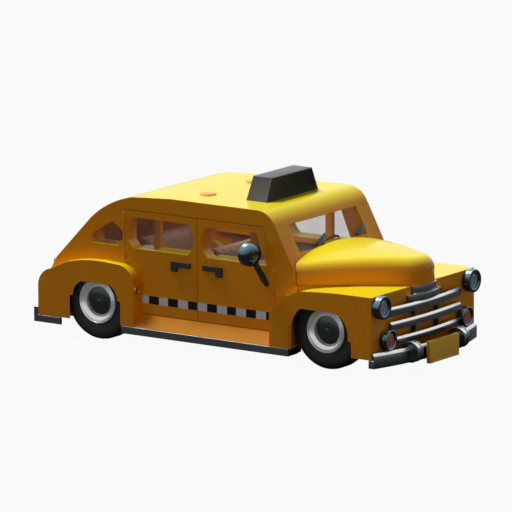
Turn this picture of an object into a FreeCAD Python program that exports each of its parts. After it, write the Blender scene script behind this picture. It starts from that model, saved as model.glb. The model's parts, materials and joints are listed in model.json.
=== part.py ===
import FreeCAD, Part
import math
import os

# Taxi cab, a slab-sided four-door sedan. Millimetres, +X forward, +Y left, +Z up.
# The origin is on the ground, under the middle of the overall box.

# ---------------------------------------------------------------- driving sizes
wheelbase = 2970.0
front_overhang = 960.0          # front axle to the face of the front plate
rear_overhang = 900.0           # rear axle to the back of the rear bumper
rear_axle_x = rear_overhang - (rear_overhang + wheelbase + front_overhang) / 2
front_axle_x = rear_axle_x + wheelbase
front_x = front_axle_x + front_overhang
rear_x = rear_axle_x - rear_overhang

side_half = 884.0               # centreline to the door skins
fender_half = 998.0             # centreline to the fender skins
wall = 230.0                    # whole thickness of the fixed body walls
inner_half = side_half - wall
door_thick = 150.0
skin = 8.0                      # fender sheet
roof_thick = 58.0
tail_thick = 40.0
gap = 6.0                       # shut line around doors and lids
hinge_out = 10.0                # door hinge pins stand out from the skin
hinge_radius = 9.0
seat_gap = 0.3                  # rest clearance between pieces of different bodies

tyre_radius = 427.0
tyre_width = 240.0
tyre_shoulder = 45.0            # rounding of the tread edge
rim_radius = 242.0
rear_tyre_outer = 939.0         # centreline to the outer sidewall, rear
front_tyre_outer = 854.0        # the same, front, inboard to leave room to steer
kingpin_half = 664.0
swing_radius = 474.0            # drum that a steered wheel sweeps, with its clearance
swing_top_z = 866.0
swing_foot_z = 640.0            # height that the sweep reaches behind the wheel, outside the doors
well_sheet = 12.0
axle_z = tyre_radius

sill_top_z = 344.0
board_z = (122.0, 206.0)        # running board, bottom and top
belt_z = 1061.0                 # lower edge of the side windows
window_top_z = 1405.0
door_top_z = 1482.0
roof_z = 1658.0
floor_z = (218.0, 236.0)
rail_height = 90.0
shelf_z = 602.0                 # rear floor, over the axle and on the rails

# stations along the side, from the axle that each one follows
rear_door_back_x = rear_axle_x + 335.0
rear_door_low_x = rear_axle_x + 560.0
b_post_x = rear_axle_x + 1300.5
front_door_x = front_axle_x - 658.0
rear_fender_front_x = rear_axle_x + 521.0
rear_fender_back_x = rear_axle_x - 774.0
front_fender_back_x = front_axle_x - 645.0
cowl_x = front_axle_x - 380.0
nose_face_x = front_axle_x + 679.0
tail_x = rear_axle_x - 748.0


def box(x0, x1, y0, y1, z0, z1):
    corner = FreeCAD.Vector(min(x0, x1), min(y0, y1), min(z0, z1))
    return Part.makeBox(abs(x1 - x0), abs(y1 - y0), abs(z1 - z0), corner)


def outline(steps, to_vector):
    """A closed face: a step is a corner, or (corner on the arc, end of the arc)."""
    first = to_vector(*steps[0])
    last = first
    edges = []
    for step in steps[1:] + [steps[0]]:
        if isinstance(step[0], tuple):
            middle = to_vector(*step[0])
            end = to_vector(*step[1])
            edges.append(Part.Arc(last, middle, end).toShape())
        else:
            end = to_vector(*step)
            if last.distanceToPoint(end) < 1e-6:
                continue
            edges.append(Part.LineSegment(last, end).toShape())
        last = end
    return Part.Face(Part.Wire(edges))


def side_prism(steps, y0, y1):
    """Outline given as (x, z), extruded across the car from y0 to y1."""
    face = outline(steps, lambda x, z: FreeCAD.Vector(x, y0, z))
    return face.extrude(FreeCAD.Vector(0, y1 - y0, 0))


def plan_prism(steps, z0, z1):
    """Outline given as (x, y), extruded upwards from z0 to z1."""
    face = outline(steps, lambda x, y: FreeCAD.Vector(x, y, z0))
    return face.extrude(FreeCAD.Vector(0, 0, z1 - z0))


def cross_prism(steps, x0, x1):
    """Outline given as (y, z), extruded along the car from x0 to x1."""
    face = outline(steps, lambda y, z: FreeCAD.Vector(x0, y, z))
    return face.extrude(FreeCAD.Vector(x1 - x0, 0, 0))


def rod(start, end, radius):
    start = FreeCAD.Vector(*start)
    run = FreeCAD.Vector(*end) - start
    return Part.makeCylinder(radius, run.Length, start, run)


def turned(profile, centre):
    """A ring profile given as (radius, y), spun about the crosswise line at centre."""
    x, z = centre
    face = outline(profile, lambda r, y: FreeCAD.Vector(x + r, y, z))
    return face.revolve(FreeCAD.Vector(x, 0, z), FreeCAD.Vector(0, 1, 0), 360)


def swing_room(radius, top):
    """The upright drum that a steered front wheel sweeps about its kingpin."""
    foot = FreeCAD.Vector(front_axle_x, kingpin_half, 0)
    return Part.makeCylinder(radius, top, foot, FreeCAD.Vector(0, 0, 1))


def mirrored(shape):
    return shape.mirror(FreeCAD.Vector(0, 0, 0), FreeCAD.Vector(0, 1, 0))


def fused(pieces):
    whole = pieces[0]
    if len(pieces) > 1:
        whole = whole.fuse(pieces[1:]).removeSplitter()
    return whole


def both(shape):
    """The left-hand shape and its right-hand copy, as solids of one node."""
    return Part.makeCompound(shape.Solids + mirrored(shape).Solids)


# ---------------------------------------------------------------- body profile
# Side outline of the cabin from the tail over the roof to the foot of the
# windshield. Each row: x from the axle named in the column, and z.
pillar_foot = (cowl_x - 7.0, 1022.0)
header_low = (front_axle_x - 639.0, 1500.0)


def cabin_outline(inset, floor):
    """The cabin's side outline, drawn inset by a wall thickness."""
    tail = rear_axle_x + inset
    low = inset * 0.7
    return [
        (tail_x + inset, floor),
        (tail_x + inset, 600.0),
        (tail - 594.0 + low * 0.3, 859.0 - low * 0.4),
        (tail - 137.0 - low * 0.1, 1333.0 - low * 0.8),
        ((tail + 69.0 - low * 0.6, 1488.0 - low), (tail + 448.0 - inset, 1628.0 - inset)),
        (rear_axle_x + 945.0, roof_z - inset),
        (front_axle_x - 874.0, roof_z - inset),
        ((front_axle_x - 730.0 - low, 1610.0 - low), (header_low[0] - inset * 1.15, header_low[1])),
        (pillar_foot[0] - inset * 1.15, pillar_foot[1]),
        (cowl_x - inset, 800.0),
        (cowl_x - inset, floor),
    ]


def make_shell():
    outer = side_prism(cabin_outline(0.0, board_z[1]), -side_half, side_half)
    room = side_prism(cabin_outline(roof_thick, board_z[1] - 10.0), -inner_half, inner_half)
    return outer.cut(room)


def wheel_well(y0, y1, axle_x, radius):
    return Part.makeCylinder(radius, y1 - y0, FreeCAD.Vector(axle_x, y0, axle_z),
                             FreeCAD.Vector(0, 1, 0))


def rear_door_outline(grow):
    low_x = rear_door_low_x - grow
    back_x = rear_door_back_x - grow
    return [
        (low_x, sill_top_z + gap - grow),
        (low_x, 716.0),
        ((low_x - 66.0, 846.0), (back_x + 30.0, 897.0 - grow)),
        (back_x, 903.0 - grow),
        (back_x, door_top_z + grow - gap),
        (b_post_x - gap / 2 + grow / 2, door_top_z + grow - gap),
        (b_post_x - gap / 2 + grow / 2, sill_top_z + gap - grow),
    ]


def front_door_outline(grow):
    lean = 0.355                # the front edge leans back above the belt
    top = door_top_z + grow - gap
    knee_z = 1072.0
    return [
        (b_post_x + gap / 2 - grow / 2, sill_top_z + gap - grow),
        (b_post_x + gap / 2 - grow / 2, top),
        (front_door_x + grow - lean * (top - knee_z), top),
        (front_door_x + grow, knee_z),
        (front_door_x + grow, sill_top_z + gap - grow),
    ]


# window outlines, as (x, z): rounded behind and in front
def rear_window_outline():
    x0 = rear_axle_x + 362.0
    x1 = b_post_x - 41.0
    mid = (belt_z + window_top_z) / 2
    return [
        (x0 + 93.0, belt_z),
        ((x0, mid), (x0 + 97.0, window_top_z)),
        (x1 - 78.0, window_top_z),
        ((x1, mid), (x1 - 81.0, belt_z)),
    ]


def front_window_outline():
    x0 = b_post_x + 52.0
    x1 = front_door_x - 89.0
    mid = (belt_z + window_top_z) / 2
    return [
        (x0 + 93.0, belt_z),
        ((x0, mid), (x0 + 97.0, window_top_z)),
        (x1 - 142.0, window_top_z),
        (x1, belt_z),
    ]


def quarter_window_outline():
    x = rear_axle_x
    z = belt_z
    return [
        (x - 90.0, z + 8.0),
        ((x - 124.0, z + 60.0), (x - 98.0, z + 122.0)),
        (x + 161.0, 1331.0),
        (x + 268.0, 1262.0),
        ((x + 306.0, 1208.0), (x + 283.0, 1124.0)),
        (x + 238.0, z + 8.0),
    ]


window_divider = {              # centre x and width of the upright in each door
    "rear": (rear_axle_x + 666.0, 84.0),
    "front": (rear_axle_x + 1948.0 + (wheelbase - 2970.0), 84.0),
}
divider_depth = 46.0            # the upright stands inside the door's inner face
ledge_size = (84.0, 60.0)       # width and thickness of the shelf under the window, inside
pane_depth = 58.0               # door skin to the outer face of the glass
pane_thick = 6.0
latch_taper = 26.0              # the latch edge is narrower inside, so it swings clear


def make_door(edge, window, divider, latch_x, swing):
    """A left door: swing is +1 where it reaches forward from its latch, -1 back."""
    y_in = side_half - door_thick
    far = 3000.0 * swing
    slab = side_prism(edge, y_in, side_half)
    plan = plan_prism([
        (latch_x, side_half + 1),
        (latch_x + far, side_half + 1),
        (latch_x + far, y_in - 1),
        (latch_x + latch_taper * swing, y_in - 1),
    ], 0.0, 2000.0)
    slab = slab.common(plan)
    opening = side_prism(window, y_in - 1, side_half + 1)
    slab = slab.cut(opening)
    centre, width = divider
    bar = box(centre - width / 2, centre + width / 2, y_in - divider_depth, y_in + 10.0,
              belt_z - 12.0, window_top_z + 44.0)
    # the shelf ends short of both door edges, so it swings clear of the posts
    reach, thick = ledge_size
    sill = opening.BoundBox
    ledge = box(sill.XMin + 96.0, sill.XMax - 84.0, y_in - reach, y_in + 2.0, belt_z - thick, belt_z)
    return fused([slab, bar, ledge])


handle_bar = (252.0, 55.0, 28.0)        # length, height, stand-out
handle_leg = (80.0, 108.0)              # width and drop of the lever's root
handle_top_z = 972.0


def make_handle(latch_x, swing):
    """The L-shaped pull next to the latch, its root away from it."""
    length, height, out = handle_bar
    width, drop = handle_leg
    x0 = latch_x + 85.0 * swing
    x1 = x0 + length * swing
    bar = box(x0, x1, side_half, side_half + out, handle_top_z - height, handle_top_z)
    leg = box(x1 - width * swing, x1, side_half, side_half + out, handle_top_z - drop, handle_top_z)
    return fused([bar, leg])


def make_pane(window, y_out):
    return side_prism(window, y_out - pane_thick, y_out)


hinge_height = 96.0             # three knuckles: the middle one is on the door
front_hinges = (690.0, 1000.0)
rear_hinges = (968.0, 1402.0)
hinge_leaf = (34.0, 6.0)


def hinge_knuckle(axis_x, z0, z1, reach):
    """A knuckle on the hinge line with a leaf lying on the skin, towards reach."""
    y = side_half + hinge_out
    long, thick = hinge_leaf
    knuckle = rod((axis_x, y, z0), (axis_x, y, z1), hinge_radius)
    leaf = box(axis_x + 3.0 * reach, axis_x + long * reach, side_half, side_half + thick, z0, z1)
    web = box(axis_x, axis_x + 8.0 * reach, y - 4.0, y + 1.0, z0, z1)
    return fused([knuckle, web, leaf])


def hinge_parts(axis_x, centres, door_side):
    """The door's knuckles as one list and the body's as another."""
    third = hinge_height / 3
    on_door = []
    on_body = []
    for z in centres:
        on_door.append(hinge_knuckle(axis_x, z - third / 2, z + third / 2, door_side))
        for low in (z - third * 1.5, z + third / 2 + seat_gap):
            on_body.append(hinge_knuckle(axis_x, low, low + third - seat_gap, -door_side))
    return on_door, on_body


rear_hinge_x = rear_door_back_x - gap / 2
front_hinge_x = front_door_x + gap / 2

mirror_head = (132.0, 112.0)            # radius and depth
mirror_centre = (front_door_x - 152.0, 1100.0, 1212.0)
mirror_foot = (front_door_x - 97.0, side_half, 872.0)
mirror_turn = 22.0                      # degrees that the glass faces inward


def make_mirror():
    radius, depth = mirror_head
    turn = math.radians(mirror_turn)
    ahead = FreeCAD.Vector(math.cos(turn), math.sin(turn), 0)
    centre = FreeCAD.Vector(*mirror_centre)
    head = Part.makeCylinder(radius, depth, centre - ahead * (depth / 2), ahead)
    front_edge = [e for e in head.Edges if e.BoundBox.XMax > centre.x + depth / 2 and e.Closed]
    head = head.makeFillet(38.0, front_edge[:1])
    stem_top = centre + FreeCAD.Vector(8.0, -58.0, -88.0)
    stem = rod(mirror_foot, (stem_top.x, stem_top.y, stem_top.z), 25.0)
    foot = Part.makeCylinder(40.0, 14.0, FreeCAD.Vector(*mirror_foot), FreeCAD.Vector(0, 1, 0))
    stem = stem.cut(box(mirror_foot[0] - 80, mirror_foot[0] + 80, side_half - 60, side_half,
                        mirror_foot[2] - 80, mirror_foot[2] + 80))
    return fused([head, stem, foot])


# ---------------------------------------------------------------- fenders
def front_arch():
    x = front_axle_x
    return [
        (x - 396.0, 90.0),
        (x - 396.0, 460.0),
        (x - 357.0, 468.0),
        ((x - 322.0, 572.0), (x - 240.0, 668.0)),
        (x + 204.0, 668.0),
        ((x + 308.0, 604.0), (x + 378.0, 400.0)),
        (x + 383.0, 378.0),
        (x + 421.0, 378.0),
        (x + 421.0, 90.0),
    ]


def rear_arch():
    x = rear_axle_x
    return [
        (x - 343.0, 90.0),
        (x - 343.0, 467.0),
        (x - 303.0, 475.0),
        ((x - 262.0, 585.0), (x - 190.0, 640.0)),
        (x + 190.0, 640.0),
        ((x + 262.0, 585.0), (x + 303.0, 475.0)),
        (x + 343.0, 467.0),
        (x + 343.0, 90.0),
    ]


apron_half = 395.0              # outer face of the engine bay's side wall
hood_bottom_z = 887.0
hood_rear_half = side_half - 22.0
hood_front_half = 216.0
hood_front_x = front_axle_x + 684.0
hood_tip_x = front_axle_x + 764.0
fender_bottom_z = board_z[1]


def front_fender_outline(inset, bottom):
    x = front_axle_x
    back = cowl_x if inset else front_fender_back_x
    start = [(back + inset, bottom)]
    if inset:
        start.append((back + inset, 793.0 - inset))
    else:
        start.append((back, 580.0))
        start.append((x - 500.0, 707.0))
        start.append(((x - 470.0, 762.0), (x - 410.0, 790.0)))
    return start + [
        (x - 237.0, 855.0 - inset),
        (x, 874.0 - inset),
        (x + 255.0, 885.0 - inset),
        (nose_face_x - inset, 886.0 - inset),
        (nose_face_x - inset, bottom),
    ]


def hood_half_at(x):
    share = (x - (cowl_x + gap)) / (hood_front_x - (cowl_x + gap))
    return hood_rear_half + share * (hood_front_half - hood_rear_half)


def make_front_fender():
    outer_part = side_prism(front_fender_outline(0.0, fender_bottom_z), side_half, fender_half)
    inner_part = side_prism([(cowl_x, fender_bottom_z)] + [(cowl_x, 793.0)]
                            + front_fender_outline(0.0, fender_bottom_z)[4:], apron_half - skin, side_half)
    body = fused([outer_part, inner_part])
    # the hollow behind the sheet, open below
    hollow = side_prism(front_fender_outline(skin, fender_bottom_z - 5.0), apron_half, fender_half - skin)
    body = body.cut(hollow)
    back_wall = box(cowl_x - 1, cowl_x + skin + 1, apron_half, side_half, 0, swing_top_z)
    body = body.cut(swing_room(swing_radius, swing_top_z).common(back_wall))
    # the solid foot behind the wheel is hollowed where the steered tyre sweeps
    foot = box(front_fender_back_x, cowl_x + skin + 1, side_half - 1, fender_half - skin, 0, swing_foot_z)
    body = body.cut(swing_room(swing_radius, swing_foot_z).common(foot))
    arch = side_prism(front_arch(), fender_half - skin - 2, fender_half + 2)
    body = body.cut(arch)
    # upright strip that carries the hood's edge above the falling fender top
    strip = 12.0
    x0 = cowl_x
    x1 = nose_face_x - skin
    ledge = plan_prism([
        (x0, hood_half_at(x0)),
        (x1, hood_half_at(x1)),
        (x1, hood_half_at(x1) - strip),
        (x0, hood_half_at(x0) - strip),
    ], 700.0, hood_bottom_z - gap)
    under = side_prism(front_fender_outline(0.0, fender_bottom_z - 20.0), 0.0, fender_half)
    ledge = ledge.cut(under).cut(box(x0 - 300, x0, 0, 999, 600, 1000))
    pads = [box(x, x + 40.0, hood_half_at(x) - strip - 20.0, hood_half_at(x) - 2.0,
                hood_bottom_z - gap - 20.0, hood_bottom_z - seat_gap)
            for x in (cowl_x + 120.0, front_axle_x + 160.0)]
    whole = fused([body, ledge] + pads)
    # the side wall is open below for the axle, the steering and the rails
    return whole.cut(box(cowl_x + 30.0, nose_face_x - 60.0, apron_half - skin - 1, apron_half + 1, 0, 510.0))


def rear_fender_outline(inset, bottom):
    x = rear_axle_x
    back = rear_fender_back_x + inset
    front = rear_fender_front_x - inset
    return [
        (back, bottom),
        (back, 545.0),
        ((x - 735.0 + inset, 655.0), (x - 606.0 + inset * 0.4, 737.0 - inset)),
        (x - 386.0, 837.0 - inset),
        ((x - 126.0, 886.0 - inset), (x + 150.0, 892.0 - inset)),
        (x + 345.0, 881.0 - inset),
        ((x + 482.0 - inset * 0.7, 796.0 - inset * 0.7), (front, 712.0)),
        (front, bottom),
    ]


def make_rear_fender():
    outer = side_prism(rear_fender_outline(0.0, fender_bottom_z), side_half, fender_half)
    hollow = side_prism(rear_fender_outline(skin, fender_bottom_z - 5.0), side_half - 1, fender_half - skin)
    arch = side_prism(rear_arch(), fender_half - skin - 2, fender_half + 2)
    body = outer.cut(hollow).cut(arch)
    cap_y = (side_half + fender_half) / 2
    cap = rod((rear_fender_front_x, cap_y, 612.0), (rear_fender_front_x + 13.0, cap_y, 612.0), 44.0)
    return fused([body, cap])


# ---------------------------------------------------------------- lids
lid_half = inner_half - 94.0
lid_top_z = 1180.0
lid_bottom_z = 560.0
tail_run = ((rear_axle_x - 594.0, 859.0), (rear_axle_x - 137.0, 1333.0))
tail_length = math.hypot(tail_run[1][0] - tail_run[0][0], tail_run[1][1] - tail_run[0][1])
tail_along = ((tail_run[1][0] - tail_run[0][0]) / tail_length,
              (tail_run[1][1] - tail_run[0][1]) / tail_length)
tail_out = (-tail_along[1], tail_along[0])


def on_tail(z, out):
    """A point off the sloping tail at height z, out from its surface."""
    share = (z - tail_run[0][1]) / (tail_run[1][1] - tail_run[0][1])
    x = tail_run[0][0] + share * (tail_run[1][0] - tail_run[0][0])
    return (x + out * tail_out[0], z + out * tail_out[1])


def tail_band(z_low, z_high, thick, half, spread):
    """A slab square to the sloping tail, between two heights along it."""
    a = on_tail(z_low, spread)
    b = on_tail(z_high, spread)
    c = on_tail(z_high, -thick)
    d = on_tail(z_low, -thick)
    return side_prism([a, b, c, d], -half, half)


def lid_cutter(grow):
    top = on_tail(lid_top_z + grow * 0.72, 400.0)
    top_in = on_tail(lid_top_z + grow * 0.72, -120.0)
    return side_prism([
        (tail_x - 300.0, lid_bottom_z - grow),
        (tail_x - 300.0, top[1]),
        top,
        top_in,
        (top_in[0] - 60.0, lid_bottom_z - grow),
    ], -lid_half - grow, lid_half + grow)


def tail_skin():
    """The sloping back of the car with its upright foot, between the side walls."""
    outer = side_prism(cabin_outline(0.0, board_z[1]), -inner_half, inner_half)
    # inner face: the same slope moved in by the sheet's thickness
    a = on_tail(1600.0, -tail_thick)
    b = on_tail(859.0 - 18.0, -tail_thick)
    inner = side_prism([
        (tail_x + tail_thick, board_z[1] - 20.0),
        (tail_x + tail_thick, 592.0),
        b,
        a,
        (a[0] + 2500.0, a[1]),
        (a[0] + 2500.0, board_z[1] - 20.0),
    ], -inner_half - 1, inner_half + 1)
    upper = box(rear_axle_x - 900.0, rear_axle_x + 330.0, -inner_half, inner_half, board_z[1], door_top_z)
    return outer.cut(inner).common(upper)


rear_window_z = (1228.0, 1432.0)
rear_window_half = 430.0


def hood_form(inset):
    """The hood's solid form, drawn inset by its sheet thickness."""
    x0 = cowl_x - 160.0
    half0 = hood_half_at(x0) - inset
    plan = [
        (x0, -half0),
        (hood_front_x, -hood_front_half + inset),
        ((hood_tip_x - inset, 0.0), (hood_front_x, hood_front_half - inset)),
        (x0, half0),
    ]
    top_z = 1260.0
    form = plan_prism(plan, hood_bottom_z - (30.0 if inset else 0.0), top_z)
    corners = [e for e in form.Edges
               if e.BoundBox.XMin > hood_front_x - 30.0 and e.BoundBox.ZLength > 100.0]
    form = form.makeFillet(hood_corner, corners)
    crown_radius = 2960.0
    fall = 62.0                 # drop of the crown from the windshield to the nose
    run = hood_tip_x - x0
    centre = FreeCAD.Vector(x0 - 50.0, 0, 1224.0 - crown_radius - inset)
    along = FreeCAD.Vector(run + 200.0, 0, -fall)
    crown = Part.makeCylinder(crown_radius, along.Length, centre, along)
    form = form.common(crown)
    high = [e for e in form.Edges
            if e.BoundBox.ZMin > hood_bottom_z + 60.0 and e.BoundBox.XMax > x0 + 200.0]
    return form.makeFillet(hood_shoulder - inset, high)


hood_shoulder = 155.0
hood_corner = 260.0             # rounding of the nose in plan
hood_sheet = 18.0


def windshield_plane_cut(out):
    """Everything behind the sloping windshield plane, moved out by a gap."""
    dx = pillar_foot[0] - header_low[0]
    dz = header_low[1] - pillar_foot[1]
    length = math.hypot(dx, dz)
    nx, nz = dz / length, dx / length
    foot = (pillar_foot[0] + out * nx, pillar_foot[1] + out * nz)
    head = (header_low[0] + out * nx, header_low[1] + out * nz)
    return side_prism([
        (cowl_x + out, 500.0),
        (cowl_x + out, pillar_foot[1] + 5.0),
        foot,
        head,
        (head[0] - 600.0, head[1]),
        (head[0] - 600.0, 500.0),
    ], -1200.0, 1200.0)


# crosswise hinges: one knuckle on the lid beside one on the body, on each side
cross_radius = 7.0
cross_width = 30.0
hood_axis = (cowl_x - 113.0, 1226.0)
hood_hinge_half = 130.0
lid_axis_out = 8.0
lid_hinge_z = lid_top_z + gap / 2
lid_hinge_half = 300.0


def cross_hinge(axis, y, arm):
    """A pair of knuckles on the axis from y outwards, joined to the outline of their arm."""
    knuckle = rod((axis[0], y, axis[1]), (axis[0], y + cross_width, axis[1]), cross_radius)
    piece = knuckle.fuse(side_prism(arm, y, y + cross_width)).removeSplitter()
    return [piece, mirrored(piece)]


def make_hood():
    shell = hood_form(0.0).cut(hood_form(hood_sheet))
    shell = shell.cut(windshield_plane_cut(gap))
    x, z = hood_axis
    arm = [(x, z + 4.0), (x + 14.0, z - 3.0), (x + 40.0, z - 8.0), (x + 40.0, z - 20.0),
           (x + 24.0, z - 20.0), (x, z - 4.0)]
    return fused([shell] + cross_hinge(hood_axis, hood_hinge_half, arm))


def hood_hinge_stays():
    """The body's knuckles, on arms that rise in the windshield's recess."""
    x, z = hood_axis
    arm = [(x, z + 4.0), (x + 4.0, z - 2.0), (x + 14.0, z - 34.0), (x + 14.0, z - 60.0),
           (x - 6.0, z - 60.0), (x - 6.0, z - 20.0), (x - 5.0, z)]
    return cross_hinge(hood_axis, hood_hinge_half - cross_width - seat_gap, arm)


def lid_hinge_arm(reach):
    """Leaf on the sloping skin beside the lid's edge, up the slope or down it."""
    near = lid_hinge_z + 3.0 * reach
    far = lid_hinge_z + 26.0 * reach
    return [on_tail(lid_hinge_z - 1.0 * reach, lid_axis_out), on_tail(near, 0.0), on_tail(far, 0.0),
            on_tail(far, 5.0), on_tail(near, lid_axis_out + 3.0)]


# ---------------------------------------------------------------- running gear
rail_half = (280.0, 360.0)
engine_x = (front_axle_x - 350.0, front_axle_x + 250.0)
engine_z = (372.0, 850.0)
engine_half = 235.0
shaft_z = 400.0


def make_rail():
    """The left frame rail, raised over the rear axle and beside the engine."""
    a = rear_axle_x
    f = front_axle_x
    low = [
        (a - 700.0, 300.0), (a - 420.0, 300.0), (a - 250.0, 512.0), (a + 250.0, 512.0),
        (a + 470.0, 128.0), (f - 560.0, 128.0), (f - 400.0, 400.0), (f + 560.0, 400.0),
    ]
    high = [(x, z + rail_height) for x, z in reversed(low)]
    return side_prism(low + high, rail_half[0], rail_half[1])


def make_crossmembers():
    """Members between the rails, outriggers beside them and the engine's mounts."""
    a = rear_axle_x
    f = front_axle_x
    pieces = []
    cross = [                   # centre x, bottom z, height
        (a - 640.0, 310.0, 60.0),
        (a + 560.0, 130.0, 40.0),
        (a + 1300.0, 130.0, 40.0),
        (f - 620.0, 130.0, 40.0),
        (f + 500.0, 415.0, 60.0),
    ]
    for x, z, height in cross:
        pieces.append(box(x - 40.0, x + 40.0, -rail_half[0], rail_half[0], z, z + height))
    # outriggers carry the running boards and the sills
    for x in (a + 700.0, a + 1300.0, f - 640.0):
        for side in (-1, 1):
            pieces.append(box(x - 35.0, x + 35.0, side * rail_half[1], side * 700.0, 130.0, 170.0))
    # engine mounts between the block and the rails
    for x in (f - 250.0, f + 150.0):
        for side in (-1, 1):
            pieces.append(box(x - 40.0, x + 40.0, side * engine_half, side * rail_half[0], 420.0, 470.0))
    return Part.makeCompound(pieces)


tunnel_half = 110.0
tunnel_top_z = 480.0
tunnel_sheet = 10.0
floor_heel_x = rear_axle_x + 520.0


def rail_notch(x0, x1):
    """Room for the rails where they rise through the toe board."""
    slot = box(x0, x1, rail_half[0] - gap, rail_half[1] + gap, 0.0, 560.0)
    return slot.fuse(mirrored(slot))


def make_floor():
    x0 = tail_x + tail_thick + 20.0
    x1 = cowl_x - roof_thick
    heel = floor_heel_x
    shelf = shelf_z
    thick = floor_z[1] - floor_z[0]
    plate = side_prism([
        (x0, shelf), (x0, shelf + thick), (heel, shelf + thick), (heel, floor_z[1]),
        (x1, floor_z[1]), (x1, floor_z[0]), (heel - thick, floor_z[0]), (heel - thick, shelf),
    ], -inner_half, inner_half)
    tunnel = box(heel, x1, -tunnel_half, tunnel_half, floor_z[0], tunnel_top_z)
    bore = box(heel - thick - 1, x1 + 1, -tunnel_half + tunnel_sheet, tunnel_half - tunnel_sheet,
               0.0, tunnel_top_z - tunnel_sheet)
    pan = plate.fuse(tunnel).cut(bore).cut(rail_notch(front_axle_x - 570.0, x1 + 1))
    drum = swing_room(swing_radius + well_sheet, swing_top_z)
    return pan.cut(drum).cut(mirrored(drum))


boss_radius = 34.0
boss_height = 84.0
pin_radius = 18.0
pin_fit = 0.05
flange_radius = 60.0            # of the faces that the wheel hubs bolt to


def make_front_axle():
    f = front_axle_x
    bottom, top = 288.0, 352.0
    centre = box(f - 32.0, f + 32.0, -470.0, 470.0, bottom, top)
    pieces = [centre]
    arm = cross_prism([
        (440.0, bottom), (470.0, bottom), (kingpin_half - 60.0, axle_z - boss_height / 2),
        (kingpin_half - 10.0, axle_z - boss_height / 2), (kingpin_half - 10.0, axle_z + boss_height / 2),
        (kingpin_half - 60.0, axle_z + boss_height / 2), (470.0, top), (440.0, top),
    ], f - 26.0, f + 26.0)
    boss = rod((f, kingpin_half, axle_z - boss_height / 2), (f, kingpin_half, axle_z + boss_height / 2),
               boss_radius)
    side = fused([arm, boss])
    pieces += [side, mirrored(side)]
    beam = fused(pieces)
    for s in (-1, 1):
        beam = beam.cut(rod((f, s * kingpin_half, 300.0), (f, s * kingpin_half, 560.0),
                            pin_radius + pin_fit))
    return beam


arm_reach = 140.0               # kingpin to tie rod, behind the axle
arm_tip_half = 604.0
ear_height = 20.0
tie_rod_z = 332.0
tie_rod_radius = 13.0


def hub_face(outer):
    """Distance from the centreline to the wheel hub's inner face."""
    return outer - 150.0


def make_knuckle():
    f = front_axle_x
    k = kingpin_half
    ear = ear_height
    z0 = axle_z - boss_height / 2
    z1 = axle_z + boss_height / 2
    face = hub_face(front_tyre_outer) - 0.3
    back_y = k + boss_radius + 0.7
    pin = rod((f, k, z0 - ear), (f, k, z1 + ear), pin_radius)
    pieces = [pin]
    for low in (z0 - seat_gap - ear, z1 + seat_gap):
        pieces.append(rod((f, k, low), (f, k, low + ear), 30.0))
        pieces.append(box(f - 24.0, f + 24.0, k, face - 3.0, low, low + ear))
    pieces.append(box(f - 24.0, f + 24.0, back_y, face - 3.0, z0 - seat_gap - ear, z1 + seat_gap + ear))
    pieces.append(rod((f, back_y, axle_z), (f, face, axle_z), flange_radius))
    tip = (f - arm_reach, arm_tip_half)
    low = z0 - seat_gap - ear
    arm = plan_prism([
        (f - 20.0, k + 16.0), (f - 20.0, k - 22.0), (tip[0] - 16.0, tip[1] - 20.0),
        (tip[0] - 16.0, tip[1] + 18.0),
    ], low, low + ear)
    pieces.append(arm)
    return fused(pieces)


def make_tie_rod():
    x = front_axle_x - arm_reach
    end = arm_tip_half + 10.0
    arm_bottom = axle_z - boss_height / 2 - seat_gap - ear_height
    pieces = [rod((x, -end, tie_rod_z), (x, end, tie_rod_z), tie_rod_radius)]
    for y in (-arm_tip_half, arm_tip_half):
        pieces.append(rod((x, y, tie_rod_z), (x, y, arm_bottom - 0.5), 9.0))
    return fused(pieces)


def make_tyre(axle_x, outer):
    inner = outer - tyre_width
    r = tyre_radius
    s = tyre_shoulder
    k = s * (1 - math.sqrt(0.5))
    return turned([
        (rim_radius, inner + 22.0),
        (r - s, inner),
        ((r - k, inner + k), (r, inner + s)),
        (r, outer - s),
        ((r - k, outer - k), (r - s, outer)),
        (rim_radius, outer - 12.0),
    ], (axle_x, axle_z))


def make_wheel(axle_x, outer):
    inner = outer - tyre_width
    face = hub_face(outer)
    lip = outer + 18.0
    barrel = 17.0
    ring = rim_radius - barrel
    disc_y = outer - 58.0
    return turned([
        (0.0, face), (62.0, face), (66.0, disc_y - 14.0), (ring, disc_y - 14.0), (ring, inner + 22.0),
        (rim_radius, inner + 22.0), (rim_radius, outer - 12.0), (rim_radius + 4.0, outer + 4.0),
        (rim_radius, lip), (rim_radius - 34.0, lip - 6.0), (ring - 30.0, disc_y),
        (148.0, disc_y), (146.0, outer - 24.0), (120.0, outer - 20.0), (0.0, outer - 16.0),
    ], (axle_x, axle_z))


def make_rear_axle():
    a = rear_axle_x
    face = hub_face(rear_tyre_outer) - 0.3
    tube = rod((a, -face, axle_z), (a, face, axle_z), 42.0)
    case = Part.makeSphere(128.0, FreeCAD.Vector(a, 0, axle_z))
    nose = rod((a + 60.0, 0, shaft_z), (a + 190.0, 0, shaft_z), 52.0)
    pieces = [tube, case, nose]
    for s in (-1, 1):
        pieces.append(rod((a, s * (face - 40.0), axle_z), (a, s * face, axle_z), flange_radius))
    return fused(pieces)


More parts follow.
